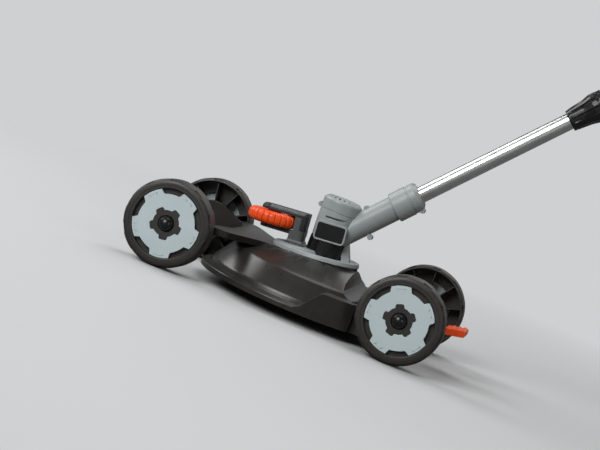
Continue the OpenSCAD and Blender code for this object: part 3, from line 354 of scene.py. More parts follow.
@dataclass(frozen=True)
class Overmoulded(Finish):
    """Moulded plastic with a band of soft rubber moulded over it.

    Attributes:
        rubber: Colour of the rubber.
        matt: Roughness of the rubber.
        foot: Point that the band's ends are measured from.
        along: Direction that they are measured along, whose slant slants the ends too.
        band: Start and end of the band.
        seam: Half width of the change of colour at an end.
        groove: Distance from an end to the far side of the groove beside it.
        pebble: Size of the rubber's pebbles.
        depth: Depth of the groove.
    """

    rubber: Colour = (0.013, 0.013, 0.014)
    matt: float = 0.68
    foot: Point = (0.0, 0.0, 0.0)
    along: Point = (0.0, 0.0, 1.0)
    band: Pair = (0.0, 0.1)
    seam: float = 0.2 * MM
    groove: float = 1.4 * MM
    pebble: float = 1.3 * MM
    depth: float = 0.3 * MM

    def shade(self, graph: Graph) -> bpy.types.Node:
        """Builds the shader of the plastic and its band."""
        place = graph.place()
        start, end = self.band
        reach = graph.vector("DOT_PRODUCT", graph.vector("SUBTRACT", place, self.foot), self.along)
        zone = graph.product(graph.ranged(reach, start - self.seam, start + self.seam),
                             graph.ranged(reach, end - self.seam, end + self.seam, 1.0, 0.0))
        wide = graph.product(graph.ranged(reach, start - self.groove, start - self.seam),
                             graph.ranged(reach, end + self.seam, end + self.groove, 1.0, 0.0))
        slow = graph.ranged(graph.noise(place, 46.0 * MM, 4.0), 0.3, 0.7)
        shell = graph.blend(slow, rgba(self.colour, 0.94), rgba(self.colour, 1.06))
        skin = graph.blend(slow, rgba(self.rubber, 0.85), rgba(self.rubber, 1.2))
        pebbles = graph.product(zone, graph.ranged(graph.cells(place, self.pebble), 0.1, 0.6, 0.25, 0.0))
        height = graph.number("ADD", pebbles, graph.number("SUBTRACT", zone, wide))
        return graph.add("ShaderNodeBsdfPrincipled", {
            "Base Color": graph.blend(zone, shell, skin), "Specular IOR Level": 0.4,
            "Roughness": graph.ranged(zone, 0.0, 1.0, self.roughness, self.matt),
            "Normal": graph.bump(height, self.depth)})


@dataclass(frozen=True)
class Drawn(Finish):
    """Bare metal with fine lines along one direction.

    Attributes:
        along: Direction of the lines.
        line: Spacing of the lines.
        depth: Depth of the lines, 0 for a polished surface whose lines only change its gloss.
        stretch: Scale of the pattern along the lines, against its scale across them.
    """

    along: Point = (0.0, 0.0, 1.0)
    line: float = 0.35 * MM
    depth: float = 0.0004 * MM
    stretch: float = 0.008

    def shade(self, graph: Graph) -> bpy.types.Node:
        """Builds the metal's shader."""
        turn = Vector(self.along).rotation_difference(Vector((0.0, 0.0, 1.0))).to_euler()
        turned = graph.add("ShaderNodeMapping", {"Vector": graph.place(), "Rotation": turn}).outputs[0]
        squeezed = graph.add("ShaderNodeMapping", {"Vector": turned, "Scale": (1.0, 1.0, self.stretch)})
        lines = graph.noise(squeezed.outputs[0], self.line, 3.0)
        cloud = graph.ranged(graph.noise(graph.place(), 22.0 * MM, 4.0), 0.35, 0.7)
        inputs = {"Base Color": graph.blend(cloud, rgba(self.colour), rgba(self.colour, 0.88)),
                  "Roughness": graph.ranged(lines, 0.3, 0.7, self.roughness, self.roughness + 0.05),
                  "Metallic": 1.0}
        if self.depth > 0.0:
            inputs["Normal"] = graph.bump(lines, self.depth)
        return graph.add("ShaderNodeBsdfPrincipled", inputs)


@dataclass(frozen=True)
class Rubber(Finish):
    """Soft matt rubber with a fine pebbled skin.

    Attributes:
        pebble: Size of the pebbles.
        depth: Depth between the pebbles.
        rounding: Radius over which edges are scuffed.
    """

    pebble: float = 1.1 * MM
    depth: float = 0.10 * MM
    rounding: float = 0.5 * MM

    def shade(self, graph: Graph) -> bpy.types.Node:
        """Builds the rubber's shader."""
        place = graph.place()
        height = graph.ranged(graph.cells(place, self.pebble), 0.1, 0.6, 1.0, 0.0)
        slow = graph.ranged(graph.noise(place, 25.0 * MM, 4.0), 0.3, 0.7)
        tint = graph.blend(slow, rgba(self.colour, 0.85), rgba(self.colour, 1.25))
        tint = graph.blend(graph.product(graph.edges(self.rounding), 0.25), tint, rgba(SCUFFED_RUBBER))
        rough = graph.ranged(height, 0.0, 1.0, self.roughness + 0.08, self.roughness - 0.05)
        return graph.add("ShaderNodeBsdfPrincipled", {
            "Base Color": tint, "Roughness": rough, "Specular IOR Level": 0.35, "Sheen Weight": 0.15,
            "Normal": graph.bump(height, self.depth)})


@dataclass(frozen=True)
class Filament(Finish):
    """Drawn nylon line, a little see-through."""

    def shade(self, graph: Graph) -> bpy.types.Node:
        """Builds the nylon's shader."""
        place = graph.place()
        cloud = graph.noise(place, 3.0 * MM, 3.0)
        return graph.add("ShaderNodeBsdfPrincipled", {
            "Base Color": graph.blend(cloud, rgba(self.colour, 0.8), rgba(self.colour, 1.15)),
            "Roughness": self.roughness, "Subsurface Weight": 0.25,
            "Subsurface Radius": (2.0 * MM, 1.0 * MM, 0.5 * MM),
            "Normal": graph.bump(graph.noise(place, 0.6 * MM), 0.02 * MM)})


# Places and shapes


def joint(name: str) -> dict[str, Any]:
    """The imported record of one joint."""
    return next(found for found in frame["joints"] if found["name"] == name)


def body_of(node: str) -> str:
    """Name of the body that carries a solid."""
    groups = frame["record"]["behaviour"]["bodies"]
    return next(body for body, members in groups.items() if node in members)


def axis_frame(origin: Sequence[float], axis: Sequence[float]) -> Matrix:
    """Frame on an axis, whose +X keeps nearest to the machine's front.

    Args:
        origin: Its origin.
        axis: Direction of its +Z.

    Returns:
        The frame's matrix.
    """
    front = Vector((1.0, 0.0, 0.0))
    up = Vector(axis).normalized()
    across = (front - up * up.dot(front)).normalized()
    made = Matrix((across, up.cross(across), up)).transposed().to_4x4()
    made.translation = Vector(origin)
    return made


def slanted_up(axis: Sequence[float], slant: float) -> Point:
    """Direction up an axis that leans in the machine's middle plane.

    Args:
        axis: The axis, either way round.
        slant: Share of the direction square to it.

    Returns:
        The direction, with a length of 1 along the axis.
    """
    up = Vector(axis).normalized() * (1.0 if axis[2] > 0.0 else -1.0)
    return tuple(up + slant * Vector((up.z, 0.0, -up.x)))


def ramp(low: float, high: float, value: float) -> float:
    """Smooth step from 0 at one value to 1 at another."""
    share = min(1.0, max(0.0, (value - low) / (high - low)))
    return share * share * (3.0 - 2.0 * share)


def off_middle(point: Vector, step: float) -> float:
    """Where a point is in its share of a turn about Z: 0 in the middle of a step, 1 at its ends."""
    return abs((math.atan2(point.y, point.x) / step) % 1.0 - 0.5) * 2.0


def spun(profile: Sequence[tuple[float, float]], steps: int, start: float = 0.0,
         angle: float = FULL_TURN) -> Shape:
    """Turns a closed profile about Z.

    Args:
        profile: Its corners, as radius and height.
        steps: Steps of the turn.
        start: Angle at which it starts.
        angle: Angle that it turns through.

    Returns:
        A closed shape.
    """
    shape = bmesh.new()
    corners = [shape.verts.new((radius, 0.0, height)) for radius, height in profile]
    sides = [shape.edges.new(pair) for pair in zip(corners, corners[1:] + corners[:1])]
    whole = abs(angle - FULL_TURN) < MERGE
    bmesh.ops.rotate(shape, verts=corners, cent=(0.0, 0.0, 0.0), matrix=Matrix.Rotation(start, 3, "Z"))
    bmesh.ops.spin(shape, geom=corners + sides, cent=(0.0, 0.0, 0.0), axis=(0.0, 0.0, 1.0), angle=angle,
                   steps=steps, use_merge=whole)
    bmesh.ops.remove_doubles(shape, verts=shape.verts, dist=MERGE)
    if not whole:
        open_edges = [edge for edge in shape.edges if len(edge.link_faces) == 1]
        bmesh.ops.holes_fill(shape, edges=open_edges, sides=0)
    bmesh.ops.recalc_face_normals(shape, faces=shape.faces)
    return shape


def bevel(shape: Shape, edges: Sequence[bmesh.types.BMEdge], width: float, steps: int) -> None:
    """Rounds some of a shape's edges.

    Args:
        shape: Shape to change.
        edges: The edges.
        width: Width of the rounding.
        steps: Faces across it.
    """
    bmesh.ops.bevel(shape, geom=edges, offset=width, offset_type="OFFSET", segments=steps, profile=0.5,
                    affect="EDGES", clamp_overlap=False, material=-1)


def round_edges(shape: Shape, width: float) -> None:
    """Rounds all of a shape's sharp edges by a width."""
    inner = [edge for edge in shape.edges if len(edge.link_faces) == 2]
    bevel(shape, [edge for edge in inner if edge.calc_face_angle(0.0) > SHARP], width, EDGE_STEPS)


def join(shapes: Iterable[Shape]) -> Shape:
    """Puts several shapes into one and frees them."""
    whole = bmesh.new()
    for shape in shapes:
        carrier = bpy.data.meshes.new("carrier")
        shape.to_mesh(carrier)
        shape.free()
        whole.from_mesh(carrier)
        bpy.data.meshes.remove(carrier)
    return whole


def moved(shape: Shape, place: Matrix) -> Shape:
    """Moves a shape by a matrix and returns it."""
    bmesh.ops.transform(shape, matrix=place, verts=shape.verts)
    return shape


def welded(node: str) -> Shape:
    """A solid's own mesh with its triangles joined up."""
    shape = bmesh.new()
    shape.from_mesh(frame["nodes"][node].data)
    bmesh.ops.remove_doubles(shape, verts=shape.verts, dist=MERGE)
    return shape


def evened(shape: Shape) -> Shape:
    """Makes a shape's flat faces whole and returns it."""
    bmesh.ops.dissolve_limit(shape, angle_limit=FLAT, verts=shape.verts, edges=shape.edges,
                             use_dissolve_boundaries=False)
    return shape


def fused(nodes: Sequence[str]) -> Shape:
    """Solids that meet face to face, as one shape without the faces between them.

    Args:
        nodes: The solids.

    Returns:
        One closed shape.
    """
    parts = [welded(node) for node in nodes]
    trees = [BVHTree.FromBMesh(part) for part in parts]
    for index, part in enumerate(parts):
        others = [tree for other, tree in enumerate(trees) if other != index]
        inner = [face for face in part.faces if any(
            normal.dot(face.normal) < -0.999 for tree in others
            for _, normal, _, _ in tree.find_nearest_range(face.calc_center_median(), TOUCH))]
        bmesh.ops.delete(part, geom=inner, context="FACES")
    whole = join(parts)
    bmesh.ops.remove_doubles(whole, verts=whole.verts, dist=TOUCH)
    return evened(whole)


# Pieces


def linked(name: str, data: bpy.types.ID) -> bpy.types.Object:
    """A new object in the scene."""
    made = bpy.data.objects.new(name, data)
    bpy.context.scene.collection.objects.link(made)
    return made


def add_piece(shape: Shape, name: str, body: str, finish: Finish,
              stands_for: Sequence[str] = ()) -> bpy.types.Object:
    """Makes a shape a piece of the object.

    Args:
        shape: Its shape, already in place.
        name: Its name.
        body: Body that it moves with.
        finish: Its finish.
        stands_for: Solids that it is shown instead of.

    Returns:
        The new object.
    """
    mesh = bpy.data.meshes.new(name)
    shape.to_mesh(mesh)
    shape.free()
    mesh.shade_smooth()
    mesh.set_sharp_from_angle(angle=SMOOTH_LIMIT)
    mesh.materials.append(finish.material())
    made = linked(name, mesh)
    even = made.modifiers.new("even_shading", "WEIGHTED_NORMAL")
    even.keep_sharp = True
    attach(made, body)
    if stands_for:
        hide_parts(*stands_for)
    LOG.info("%s: %d faces, on %s", name, len(mesh.polygons), body)
    return made


def dress(node: str, finish: Finish) -> None:
    """Gives a solid that stays as it is a finish."""
    shown = frame["nodes"][node]
    shown.data.materials.clear()
    shown.data.materials.append(finish.material())
    LOG.info("%s: solid in %s", node, finish.name)


def soften(node: str, width: float, finish: Finish) -> None:
    """Shows a solid with rounded edges.

    Args:
        node: The solid.
        width: Width of the rounding.
        finish: Its finish.
    """
    shape = evened(welded(node))
    round_edges(shape, width)
    add_piece(shape, f"{node}_moulding", body_of(node), finish, (node,))


def shortened(node: str) -> None:
    """Shows a spring, which a joint presses together, at its length at rest on a mesh of its own.

    Args:
        node: The spring.
    """
    shape = evened(welded(node))
    coil = add_piece(shape, f"{node}_coil", body_of(node), STEEL, (node,))
    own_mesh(coil)


# Finishes of this object

TUBE_AXIS = tuple(joint("shaft_extend")["axis"])
DECK = Moulded("deck_moulded", (0.019, 0.0172, 0.0150), 0.29, grain=0.7 * MM, depth=0.002 * MM,
               specular=0.45, soil=Soil.LOW)
DISC = Moulded("disc_moulded", (0.455, 0.53, 0.55), 0.36, drift=0.04, rub_and_highlight=0.05, soil=Soil.LOW)
HOUSING = Moulded("housing_moulded", (0.260, 0.290, 0.288), 0.40, drift=0.06)
GUARD = Moulded("guard_moulded", (0.265, 0.293, 0.292), 0.40, drift=0.06)
POST = Moulded("post_moulded", (0.060, 0.064, 0.064), 0.42, drift=0.08)
FORK = Moulded("fork_moulded", (0.017, 0.017, 0.0175), 0.34)
BLACK = Moulded("black_moulded", (0.006, 0.006, 0.0065), 0.27, rub_and_highlight=0.04, depth=0.001 * MM,
                specular=0.4)
PLATE = Moulded("plate_moulded", (0.006, 0.006, 0.0065), 0.24, grain=0.25 * MM, depth=0.001 * MM,
                rub_and_highlight=0.05, specular=0.35)
ORANGE = Moulded("orange_moulded", (0.76, 0.074, 0.010), 0.34, drift=0.05, rub_and_highlight=0.04,
                 depth=0.003 * MM, specular=0.35)
GRIP = Rubber("grip_skin", (0.014, 0.014, 0.015), 0.66)
NYLON = Filament("nylon_line", (0.66, 0.12, 0.03), 0.35)
STEEL = Drawn("bare_steel", (0.50, 0.50, 0.51), 0.30)
BRIGHT = Drawn("polished_tube", (0.60, 0.61, 0.60), 0.24, along=TUBE_AXIS, depth=0.0)
HANDLE = Overmoulded("handle_moulded", HOUSING.colour, 0.40, foot=tuple(joint("handle_turn")["pos_m"]),
                     along=slanted_up(TUBE_AXIS, 0.25), band=(0.305, 0.425))
COATED = Moulded("coated_tube", (0.022, 0.022, 0.024), 0.36, grain=0.35 * MM, depth=0.006 * MM)
BRASS = Drawn("bare_brass", (0.66, 0.48, 0.20), 0.26)


# Sub-assemblies


class Corner(Enum):
    """The four wheels: end of the machine and side of it."""

    FRONT_LEFT = ("front", "left")
    FRONT_RIGHT = ("front", "right")
    REAR_LEFT = ("rear", "left")
    REAR_RIGHT = ("rear", "right")


@dataclass
class RoadWheel:
    """A road wheel with its pale disc.

    Attributes:
        corner: Which wheel it is.
        edge: Width of the rounding on moulded edges.
        face: Distance of the disc's face from the wheel's middle.
        tabs: Number of tabs round the disc.
        front_turn: Angle that the front wheels stand at.
        ridge_radius: Radius of the bracket-shaped ridges on the tabs.
        ridge_half: Half angle of a ridge.
        ridge_leg: Length of the legs at its ends.
        ridge_thick: Half width of a ridge.
        ridge_span: Foot and top of a ridge, from the disc's face.
        bead_radius: Radius of the bead on the tyre's face.
        bead_thick: Half width of the bead.
        bead_span: Foot and top of the bead, from the disc's face.
        bead_steps: Steps of the bead round the wheel.
    """

    corner: Corner
    edge: float = 0.5 * MM
    face: float = 20.5 * MM
    tabs: int = 5
    front_turn: float = math.radians(27.0)
    ridge_radius: float = 46.6 * MM
    ridge_half: float = math.radians(7.5)
    ridge_leg: float = 4.0 * MM
    ridge_thick: float = 0.7 * MM
    ridge_span: Pair = (-0.4 * MM, 0.6 * MM)
    bead_radius: float = 56.6 * MM
    bead_thick: float = 1.3 * MM
    bead_span: Pair = (-0.5 * MM, 0.7 * MM)
    bead_steps: int = 96

    @property
    def label(self) -> str:
        """End and side of the wheel, as the solids' names have it."""
        return "_".join(self.corner.value)

    def hub_frame(self) -> Matrix:
        """Frame on the axle, with +Z out of the wheel's face."""
        outward = 1.0 if self.corner.value[1] == "left" else -1.0
        return axis_frame(joint(f"{self.label}_roll")["pos_m"], (0.0, outward, 0.0))

    def ridges(self) -> Shape:
        """Raised marks near the edge of each tab, each an arc with two short legs towards the hub."""
        turn = self.front_turn if self.corner.value[0] == "front" else 0.0
        low, high = (self.face + level for level in self.ridge_span)
        half = self.ridge_thick
        outer = self.ridge_radius + half
        arc = [(outer - 2.0 * half, low), (outer, low), (outer - 0.5 * half, high),
               (outer - 1.5 * half, high)]
        leg = [(outer - self.ridge_leg, low), (outer, low), (outer - 0.5 * half, high),
               (outer - self.ridge_leg + 0.5 * half, high)]
        width = 2.0 * half / self.ridge_radius
        marks = []
        for tab in range(self.tabs):
            first = turn + tab * FULL_TURN / self.tabs - self.ridge_half
            marks.append(spun(arc, 8, first, 2.0 * self.ridge_half))
            for start in (first, first + 2.0 * self.ridge_half - width):
                marks.append(spun(leg, 1, start, width))
        return join(marks)

    def bead(self) -> Shape:
        """Raised bead round the tyre's face."""
        low, high = (self.face + level for level in self.bead_span)
        half, top = self.bead_thick, 0.45 * self.bead_thick
        return spun([(self.bead_radius - half, low), (self.bead_radius + half, low),
                     (self.bead_radius + top, high), (self.bead_radius - top, high)], self.bead_steps)

    def build(self) -> None:
        """Makes and dresses the wheel."""
        place = self.hub_frame()
        body = f"{self.label}_wheel"
        tyre = Moulded(f"tyre_moulded_{self.label}", (0.019, 0.0168, 0.0155), 0.46, grain=0.8 * MM,
                       depth=0.012 * MM, soil=Soil.TREAD, centre=tuple(place.translation))
        soften(f"wheel_{self.label}", self.edge, tyre)
        soften(f"hubcap_{self.label}", self.edge, DISC)
        add_piece(moved(self.ridges(), place), f"disc_ridges_{self.label}", body, DISC)
        add_piece(moved(self.bead(), place), f"tyre_bead_{self.label}", body, tyre)


@dataclass
class Deck:
    """The mowing deck with its axles, cutter and pedal.

    Attributes:
        edge: Width of the rounding on the shell's edges.
        moulding: Solids that are one moulding to the eye.
        metal: Solids of bare steel.
    """

    edge: float = 0.5 * MM
    moulding: tuple[str, ...] = ("deck_shell", "axle_carriers")
    metal: tuple[str, ...] = ("front_axle", "rear_axle", "line_cutter", "cutter_screws", "pedal_pin",
                              "pedal_spring")

    def build(self) -> None:
        """Makes and dresses the deck."""
        shell = fused(self.moulding)
        round_edges(shell, self.edge)
        add_piece(shell, "deck_moulding", "deck", DECK, self.moulding)
        soften("foot_pedal", 1.0 * MM, ORANGE)
        for node in ("front_axle_caps", "rear_axle_caps"):
            soften(node, 0.3 * MM, BLACK)
        for node in self.metal:
            dress(node, STEEL)


@dataclass
class EdgeGuide:
    """The orange guide wheel and the fork that holds it.

    Attributes:
        radius: Outer radius of the wheel.
        inner: Inner radius of its ring.
        half: Half of the ring's thickness.
        stand: Half length of its hub.
        bore: Radius of its bore.
        hub: Radius of its hub.
        web: Half thickness of its web.
        outer_round: Rounding of the ring's outer edges.
        inner_round: Rounding of the ring's inner edges.
        segments: Bulged segments round its ring.
        groove: Depth of the grooves between them.
        plain: Width of the ring's inner part that has no grooves.
        fade: Width over which they grow to their full depth.
        pinch: Share by which the ring is thinner in a groove.
    """

    radius: float = 38.5 * MM
    inner: float = 23.5 * MM
    half: float = 10.0 * MM
    stand: float = 11.0 * MM
    bore: float = 3.05 * MM
    hub: float = 10.0 * MM
    web: float = 3.0 * MM
    outer_round: float = 8.4 * MM
    inner_round: float = 4.5 * MM
    segments: int = 24
    groove: float = 2.0 * MM
    plain: float = 5.0 * MM
    fade: float = 6.0 * MM
    pinch: float = 0.06

    def blank(self) -> Shape:
        """Wheel with a fat round ring, still without grooves."""
        side = [(self.bore, self.stand), (self.hub, self.stand), (self.hub, self.web),
                (self.inner, self.web), (self.inner, self.half), (self.radius, self.half)]
        lower = [(reach, -height) for reach, height in side]
        shape = spun(lower + side[::-1], self.segments * 8)
        rim = [edge for edge in shape.edges
               if all(vert.co.xy.length > self.inner - MERGE and abs(vert.co.z) > self.half - MERGE
                      for vert in edge.verts) and edge.calc_face_angle(0.0) > SHARP]
        outer = [edge for edge in rim if edge.verts[0].co.xy.length > self.radius - MM]
        inner = [edge for edge in rim if edge not in outer]
        bevel(shape, outer, self.outer_round, 7)
        bevel(shape, inner, self.inner_round, 4)
        return shape

    def ring(self) -> Shape:
        """Wheel with a fat ring of bulged segments."""
        shape = self.blank()
        for vert in shape.verts:
            reach = vert.co.xy.length
            if reach > self.inner + self.plain:
                away = off_middle(vert.co, FULL_TURN / self.segments)
                sunk = 1.0 - math.sqrt(max(0.0, 1.0 - away ** 4))
                share = min(1.0, (reach - self.inner - self.plain) / self.fade)
                vert.co.xy *= 1.0 - self.groove * share * sunk / reach
                vert.co.z *= 1.0 - self.pinch * share * sunk
        return shape

    def build(self) -> None:
        """Makes and dresses the edge guide."""
        found = joint("guide_wheel_roll")
        ring = moved(self.ring(), axis_frame(found["pos_m"], found["axis"]))
        add_piece(ring, "guide_ring", "edge_guide", ORANGE, ("guide_wheel",))
        soften("guide_post", 0.7 * MM, POST)
        soften("guide_fork", 0.8 * MM, FORK)
        dress("guide_wheel_pin", STEEL)


@dataclass
class MotorHead:
    """The guard, the neck, the motor's housing and what turns below it.

    Attributes:
        edge: Width of the rounding on moulded edges.
    """

    edge: float = 0.5 * MM

    def build(self) -> None:
        """Makes and dresses the trimmer's head."""
        soften("guard", 0.6 * MM, GUARD)
        soften("neck_collar", self.edge, BLACK)
        for node in ("motor_housing_left", "motor_housing_right", "motor_cap"):
            soften(node, self.edge, HOUSING)
        soften("blank_plate", 0.3 * MM, PLATE)
        for node in ("housing_screws", "motor_can", "motor_shaft", "line_eyelets"):
            dress(node, STEEL)
        dress("shaft_bushes", BRASS)
        dress("cooling_fan", FORK)
        dress("line_spool", HOUSING)
        for node in ("spool_hub", "spool_cap"):
            soften(node, self.edge, BLACK)
        for node in ("wound_line", "line_ends"):
            dress(node, NYLON)


@dataclass
class LockingNut:
    """The nut that locks the shaft, with long flutes for the hand.

    Attributes:
        length: Its length.
        outline: Its outside, as radius and height in millimetres.
        bore: Its inside, from its far end to its mouth, as radius and height in millimetres.
        inside: Greatest radius of the bore.
        wall: Wall round the bore that the flutes leave as it is.
        step: Greatest height of a face along the outline, in millimetres.
        flutes: Number of long recesses round it.
        flute_steps: Steps of the turn for each of them.
        flute_depth: Greatest depth of a recess.
        flute_ends: Heights at which the recesses start and end.
        flute_fade: Height over which they reach their depth.
        ridge_lift: Height that the ridges between them stand proud.
    """

    length: float = 60.0 * MM
    outline: tuple[Pair, ...] = ((15.6, 0.0), (16.3, 0.9), (18.9, 26.0), (19.6, 30.0), (21.4, 37.0),
                                 (22.4, 41.0), (22.4, 58.6), (21.2, 60.0))
    bore: tuple[Pair, ...] = ((14.6, 60.0), (14.6, 28.0), (16.0, 27.1), (16.0, 4.5), (13.1, 4.5),
                              (13.1, 0.0))
    inside: float = 16.0 * MM
    wall: float = 0.2 * MM
    step: float = 1.5
    flutes: int = 9
    flute_steps: int = 20
    flute_depth: float = 1.7 * MM
    flute_ends: Pair = (4.0 * MM, 52.0 * MM)
    flute_fade: float = 3.0 * MM
    ridge_lift: float = 0.5 * MM

    def blank(self) -> Shape:
        """The nut without its flutes, along +Z from its mouth."""
        corners = []
        for (first, low), (second, high) in zip(self.outline, self.outline[1:]):
            parts = max(1, round((high - low) / self.step))
            corners += [(first + (second - first) * part / parts, low + (high - low) * part / parts)
                        for part in range(parts)]
        corners += [self.outline[-1], *self.bore]
        profile = [(radius * MM, height * MM) for radius, height in corners]
        return spun(profile, self.flutes * self.flute_steps)

    def shape(self) -> Shape:
        """The nut with its long flutes, along +Z from its mouth."""
        shape = self.blank()
        start, end = self.flute_ends
        for vert in shape.verts:
            reach = vert.co.xy.length
            share = ramp(start, start + self.flute_fade, vert.co.z)
            share *= 1.0 - ramp(end - self.flute_fade, end, vert.co.z)
            if reach > self.inside + self.wall and share > 0.0:
                ridge = ramp(0.5, 0.7, off_middle(vert.co, FULL_TURN / self.flutes))
                depth = min(self.flute_depth, 0.6 * (reach - self.inside))
                vert.co.xy *= 1.0 + share * (ridge * self.ridge_lift - (1.0 - ridge) * depth) / reach
        return shape

    def build(self) -> None:
        """Makes and dresses the nut."""
        turning = joint("nut_turn")
        along = Vector(turning["axis"]).normalized()
        place = axis_frame(Vector(turning["pos_m"]) - along * (0.5 * self.length), along)
        nut = moved(self.shape(), place)
        add_piece(nut, "fluted_nut", "nut", BLACK, ("lock_nut",))


@dataclass
class Shaft:
    """The telescopic shaft, its locking nut and the assist handle.

    Attributes:
        edge: Width of the rounding on moulded edges.
        tube_edge: Width of the rounding on the tubes' ends.
    """

    edge: float = 0.5 * MM
    tube_edge: float = 0.3 * MM

    def build(self) -> None:
        """Makes and dresses the shaft."""
        soften("lower_tube", self.tube_edge, BRIGHT)
        soften("upper_tube", self.tube_edge, COATED)
        LockingNut().build()
        dress("tube_collet", BLACK)
        for node in ("assist_clamp", "assist_handle"):
            soften(node, self.edge, FORK)
        soften("assist_grip", 0.8 * MM, GRIP)
        dress("assist_bolt", STEEL)
        soften("assist_knob", self.edge, BLACK)


@dataclass
class MainHandle:
    """The main handle with its trigger, lock-off button and mains inlet.

    Attributes:
        edge: Width of the rounding on moulded edges.
        trigger_keep: Share of the trigger's spring that is left when the trigger is pulled. Not used.
        lock_keep: Share of the lock-off button's spring that is left when the button is pushed. Not used.
    """

    edge: float = 0.5 * MM
    trigger_keep: float = 0.31
    lock_keep: float = 0.22

    def build(self) -> None:
        """Makes and dresses the handle."""
        for node in ("handle_left", "handle_right"):
            soften(node, self.edge, HANDLE)
        soften("trigger", 0.6 * MM, ORANGE)
        soften("lock_button", self.edge, ORANGE)
        shortened("trigger_spring")
        shortened("lock_spring")
        for node in ("handle_screws", "trigger_pin"):
            dress(node, STEEL)
        dress("switch_box", FORK)
        soften("mains_inlet", 0.4 * MM, BLACK)
        dress("inlet_blades", BRASS)


# Studio


@dataclass(frozen=True)
class Lamp:
    """A soft square lamp.

    Attributes:
        name: Its name.
        place: Where it stands.
        size: Side of its square.
        power: Its power in watts.
        aim: Point that it faces.
    """

    name: str
    place: Point
    size: float
    power: float
    aim: Point = (0.2, 0.0, 0.15)

    def build(self) -> None:
        """Adds the lamp to the scene."""
        data = bpy.data.lights.new(self.name, "AREA")
        data.shape, data.size, data.energy = "SQUARE", self.size, self.power
        way = Vector(self.aim) - Vector(self.place)
        turn = way.to_track_quat("-Z", "Y").to_matrix().to_4x4()
        linked(self.name, data).matrix_world = Matrix.Translation(self.place) @ turn


LAMPS = (Lamp("key", (1.6, 2.9, 1.9), 1.8, 106.0),
         Lamp("front", (2.2, -0.4, 1.35), 1.3, 28.0, aim=(0.3, 0.1, 0.05)),
         Lamp("fill", (-2.2, 2.2, 1.2), 1.2, 12.0),
         Lamp("back", (-0.4, -2.4, 2.4), 2.2, 22.0),
         Lamp("top", (0.2, -0.4, 3.0), 2.0, 28.0))


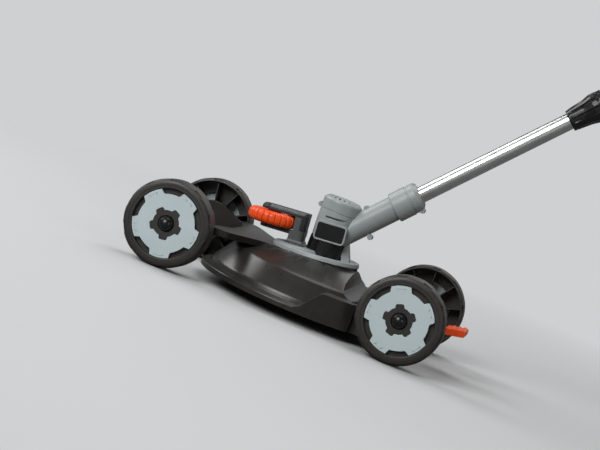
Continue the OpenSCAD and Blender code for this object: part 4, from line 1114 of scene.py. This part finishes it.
@dataclass
class Studio:
    """Floor, light and camera.

    Attributes:
        backdrop: Colour of the walls.
        ceiling: Colour of the dark ceiling, and of the screen that gloss mirrors in front of the walls.
        ceiling_rise: Slopes of the view between which the walls darken into the ceiling.
        screen_turn: Sideways slopes of the view between which the screen grows denser.
        screen_share: Density of the screen at those slopes.
        paint: Colour of the floor as the camera sees it.
        ground: Colour of the floor in gloss and in the light that it throws back.
        floor_half: Half of the floor's side.
        floor_drop: Distance of the floor below the wheels.
        fade: Distances between which the floor fades into the backdrop.
        card: Distances to the left between which a white card starts, which only gloss mirrors.
        ambient: Strength of the light from all round.
        eye: Place of the camera.
        right: Direction to the right in its view.
        up: Direction upwards in its view.
        lens: Focal length in millimetres.
        sensor: Width of its sensor in millimetres.
        clip: Nearest and farthest distance that it sees.
    """

    backdrop: Colour = (0.62, 0.63, 0.64)
    ceiling: Colour = (0.04, 0.04, 0.045)
    ceiling_rise: Pair = (0.25, 0.55)
    screen_turn: Pair = (-0.8, 0.5)
    screen_share: Pair = (0.6, 0.95)
    paint: Colour = (0.50, 0.505, 0.51)
    ground: Colour = (0.17, 0.175, 0.17)
    floor_half: float = 15.0
    floor_drop: float = 0.2 * MM
    fade: Pair = (0.55, 1.5)
    card: Pair = (1.0, 1.5)
    ambient: float = 0.16
    eye: Point = (-0.15462, 2.967, 0.388)
    right: Point = (-0.91405, -0.16795, 0.3692)
    up: Point = (0.37865, -0.02698, 0.92515)
    lens: float = 119.16
    sensor: float = 36.0
    clip: Pair = (0.05, 60.0)

    def camera(self) -> None:
        """Sets the camera at the photograph's viewing angle."""
        data = bpy.data.cameras.new("camera")
        data.lens, data.sensor_width, data.sensor_fit = self.lens, self.sensor, "HORIZONTAL"
        data.clip_start, data.clip_end = self.clip
        made = linked("camera", data)
        right, up = Vector(self.right), Vector(self.up)
        turn = Matrix((right, up, right.cross(up))).transposed()
        made.matrix_world = Matrix.Translation(self.eye) @ turn.to_4x4()
        bpy.context.scene.camera = made

    def floor_material(self) -> bpy.types.Material:
        """Pale paint that fades into the backdrop, with a white card that only gloss mirrors."""
        graph = Graph(bpy.data.materials.new("floor_paint"))
        path = graph.add("ShaderNodeLightPath").outputs
        place = graph.place()
        away = graph.ranged(graph.vector("LENGTH", place), *self.fade)
        card = graph.ranged(graph.add("ShaderNodeSeparateXYZ", {0: place}).outputs["Y"], *self.card)
        share = graph.number("MAXIMUM", graph.product(away, path["Is Camera Ray"]),
                             graph.product(card, path["Is Glossy Ray"]))
        shown = graph.blend(path["Is Camera Ray"], rgba(self.ground), rgba(self.paint))
        paint = graph.add("ShaderNodeBsdfDiffuse", {"Color": shown}).outputs[0]
        glow = graph.add("ShaderNodeEmission", {"Color": rgba(self.backdrop), "Strength": 1.0}).outputs[0]
        return graph.close(graph.add("ShaderNodeMixShader", {0: share, 1: paint, 2: glow}))

    def floor(self) -> None:
        """Lays the floor."""
        shape = bmesh.new()
        bmesh.ops.create_grid(shape, x_segments=1, y_segments=1, size=self.floor_half)
        bmesh.ops.translate(shape, verts=shape.verts, vec=(0.0, 0.0, -self.floor_drop))
        mesh = bpy.data.meshes.new("floor")
        shape.to_mesh(mesh)
        shape.free()
        mesh.materials.append(self.floor_material())
        linked("floor", mesh)

    def world(self) -> None:
        """Lights the scene softly from all round, inside pale walls that gloss mirrors darker."""
        bpy.context.scene.world = bpy.data.worlds.new("studio")
        graph = Graph(bpy.context.scene.world)
        way = graph.add("ShaderNodeSeparateXYZ", {0: graph.place()}).outputs
        gloss = graph.add("ShaderNodeLightPath").outputs["Is Glossy Ray"]
        high = graph.ranged(way["Z"], *self.ceiling_rise)
        walls = graph.blend(high, rgba(self.backdrop), rgba(self.ceiling))
        screen = graph.product(graph.ranged(way["Y"], *self.screen_turn, *self.screen_share), gloss)
        walls = graph.blend(screen, walls, rgba(self.ceiling))
        room = graph.add("ShaderNodeBackground", {"Color": walls, "Strength": 1.0}).outputs[0]
        even = graph.add("ShaderNodeBackground", {"Color": rgba(WHITE), "Strength": self.ambient})
        mixed = {0: graph.seen(), 1: even.outputs[0], 2: room}
        graph.close(graph.add("ShaderNodeMixShader", mixed))

    def build(self) -> None:
        """Sets up the studio."""
        bpy.context.scene.view_settings.view_transform = "Standard"
        self.camera()
        self.floor()
        self.world()
        for lamp in LAMPS:
            lamp.build()


def main() -> None:
    """Builds the studio and every sub-assembly in order, and logs each piece as it is made."""
    logging.basicConfig(level=logging.INFO, format="%(name)s %(message)s")
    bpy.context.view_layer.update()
    Studio().build()
    for corner in Corner:
        RoadWheel(corner).build()
    for part in (Deck(), EdgeGuide(), MotorHead(), Shaft(), MainHandle()):
        part.build()


if __name__ == "__main__":
    main()
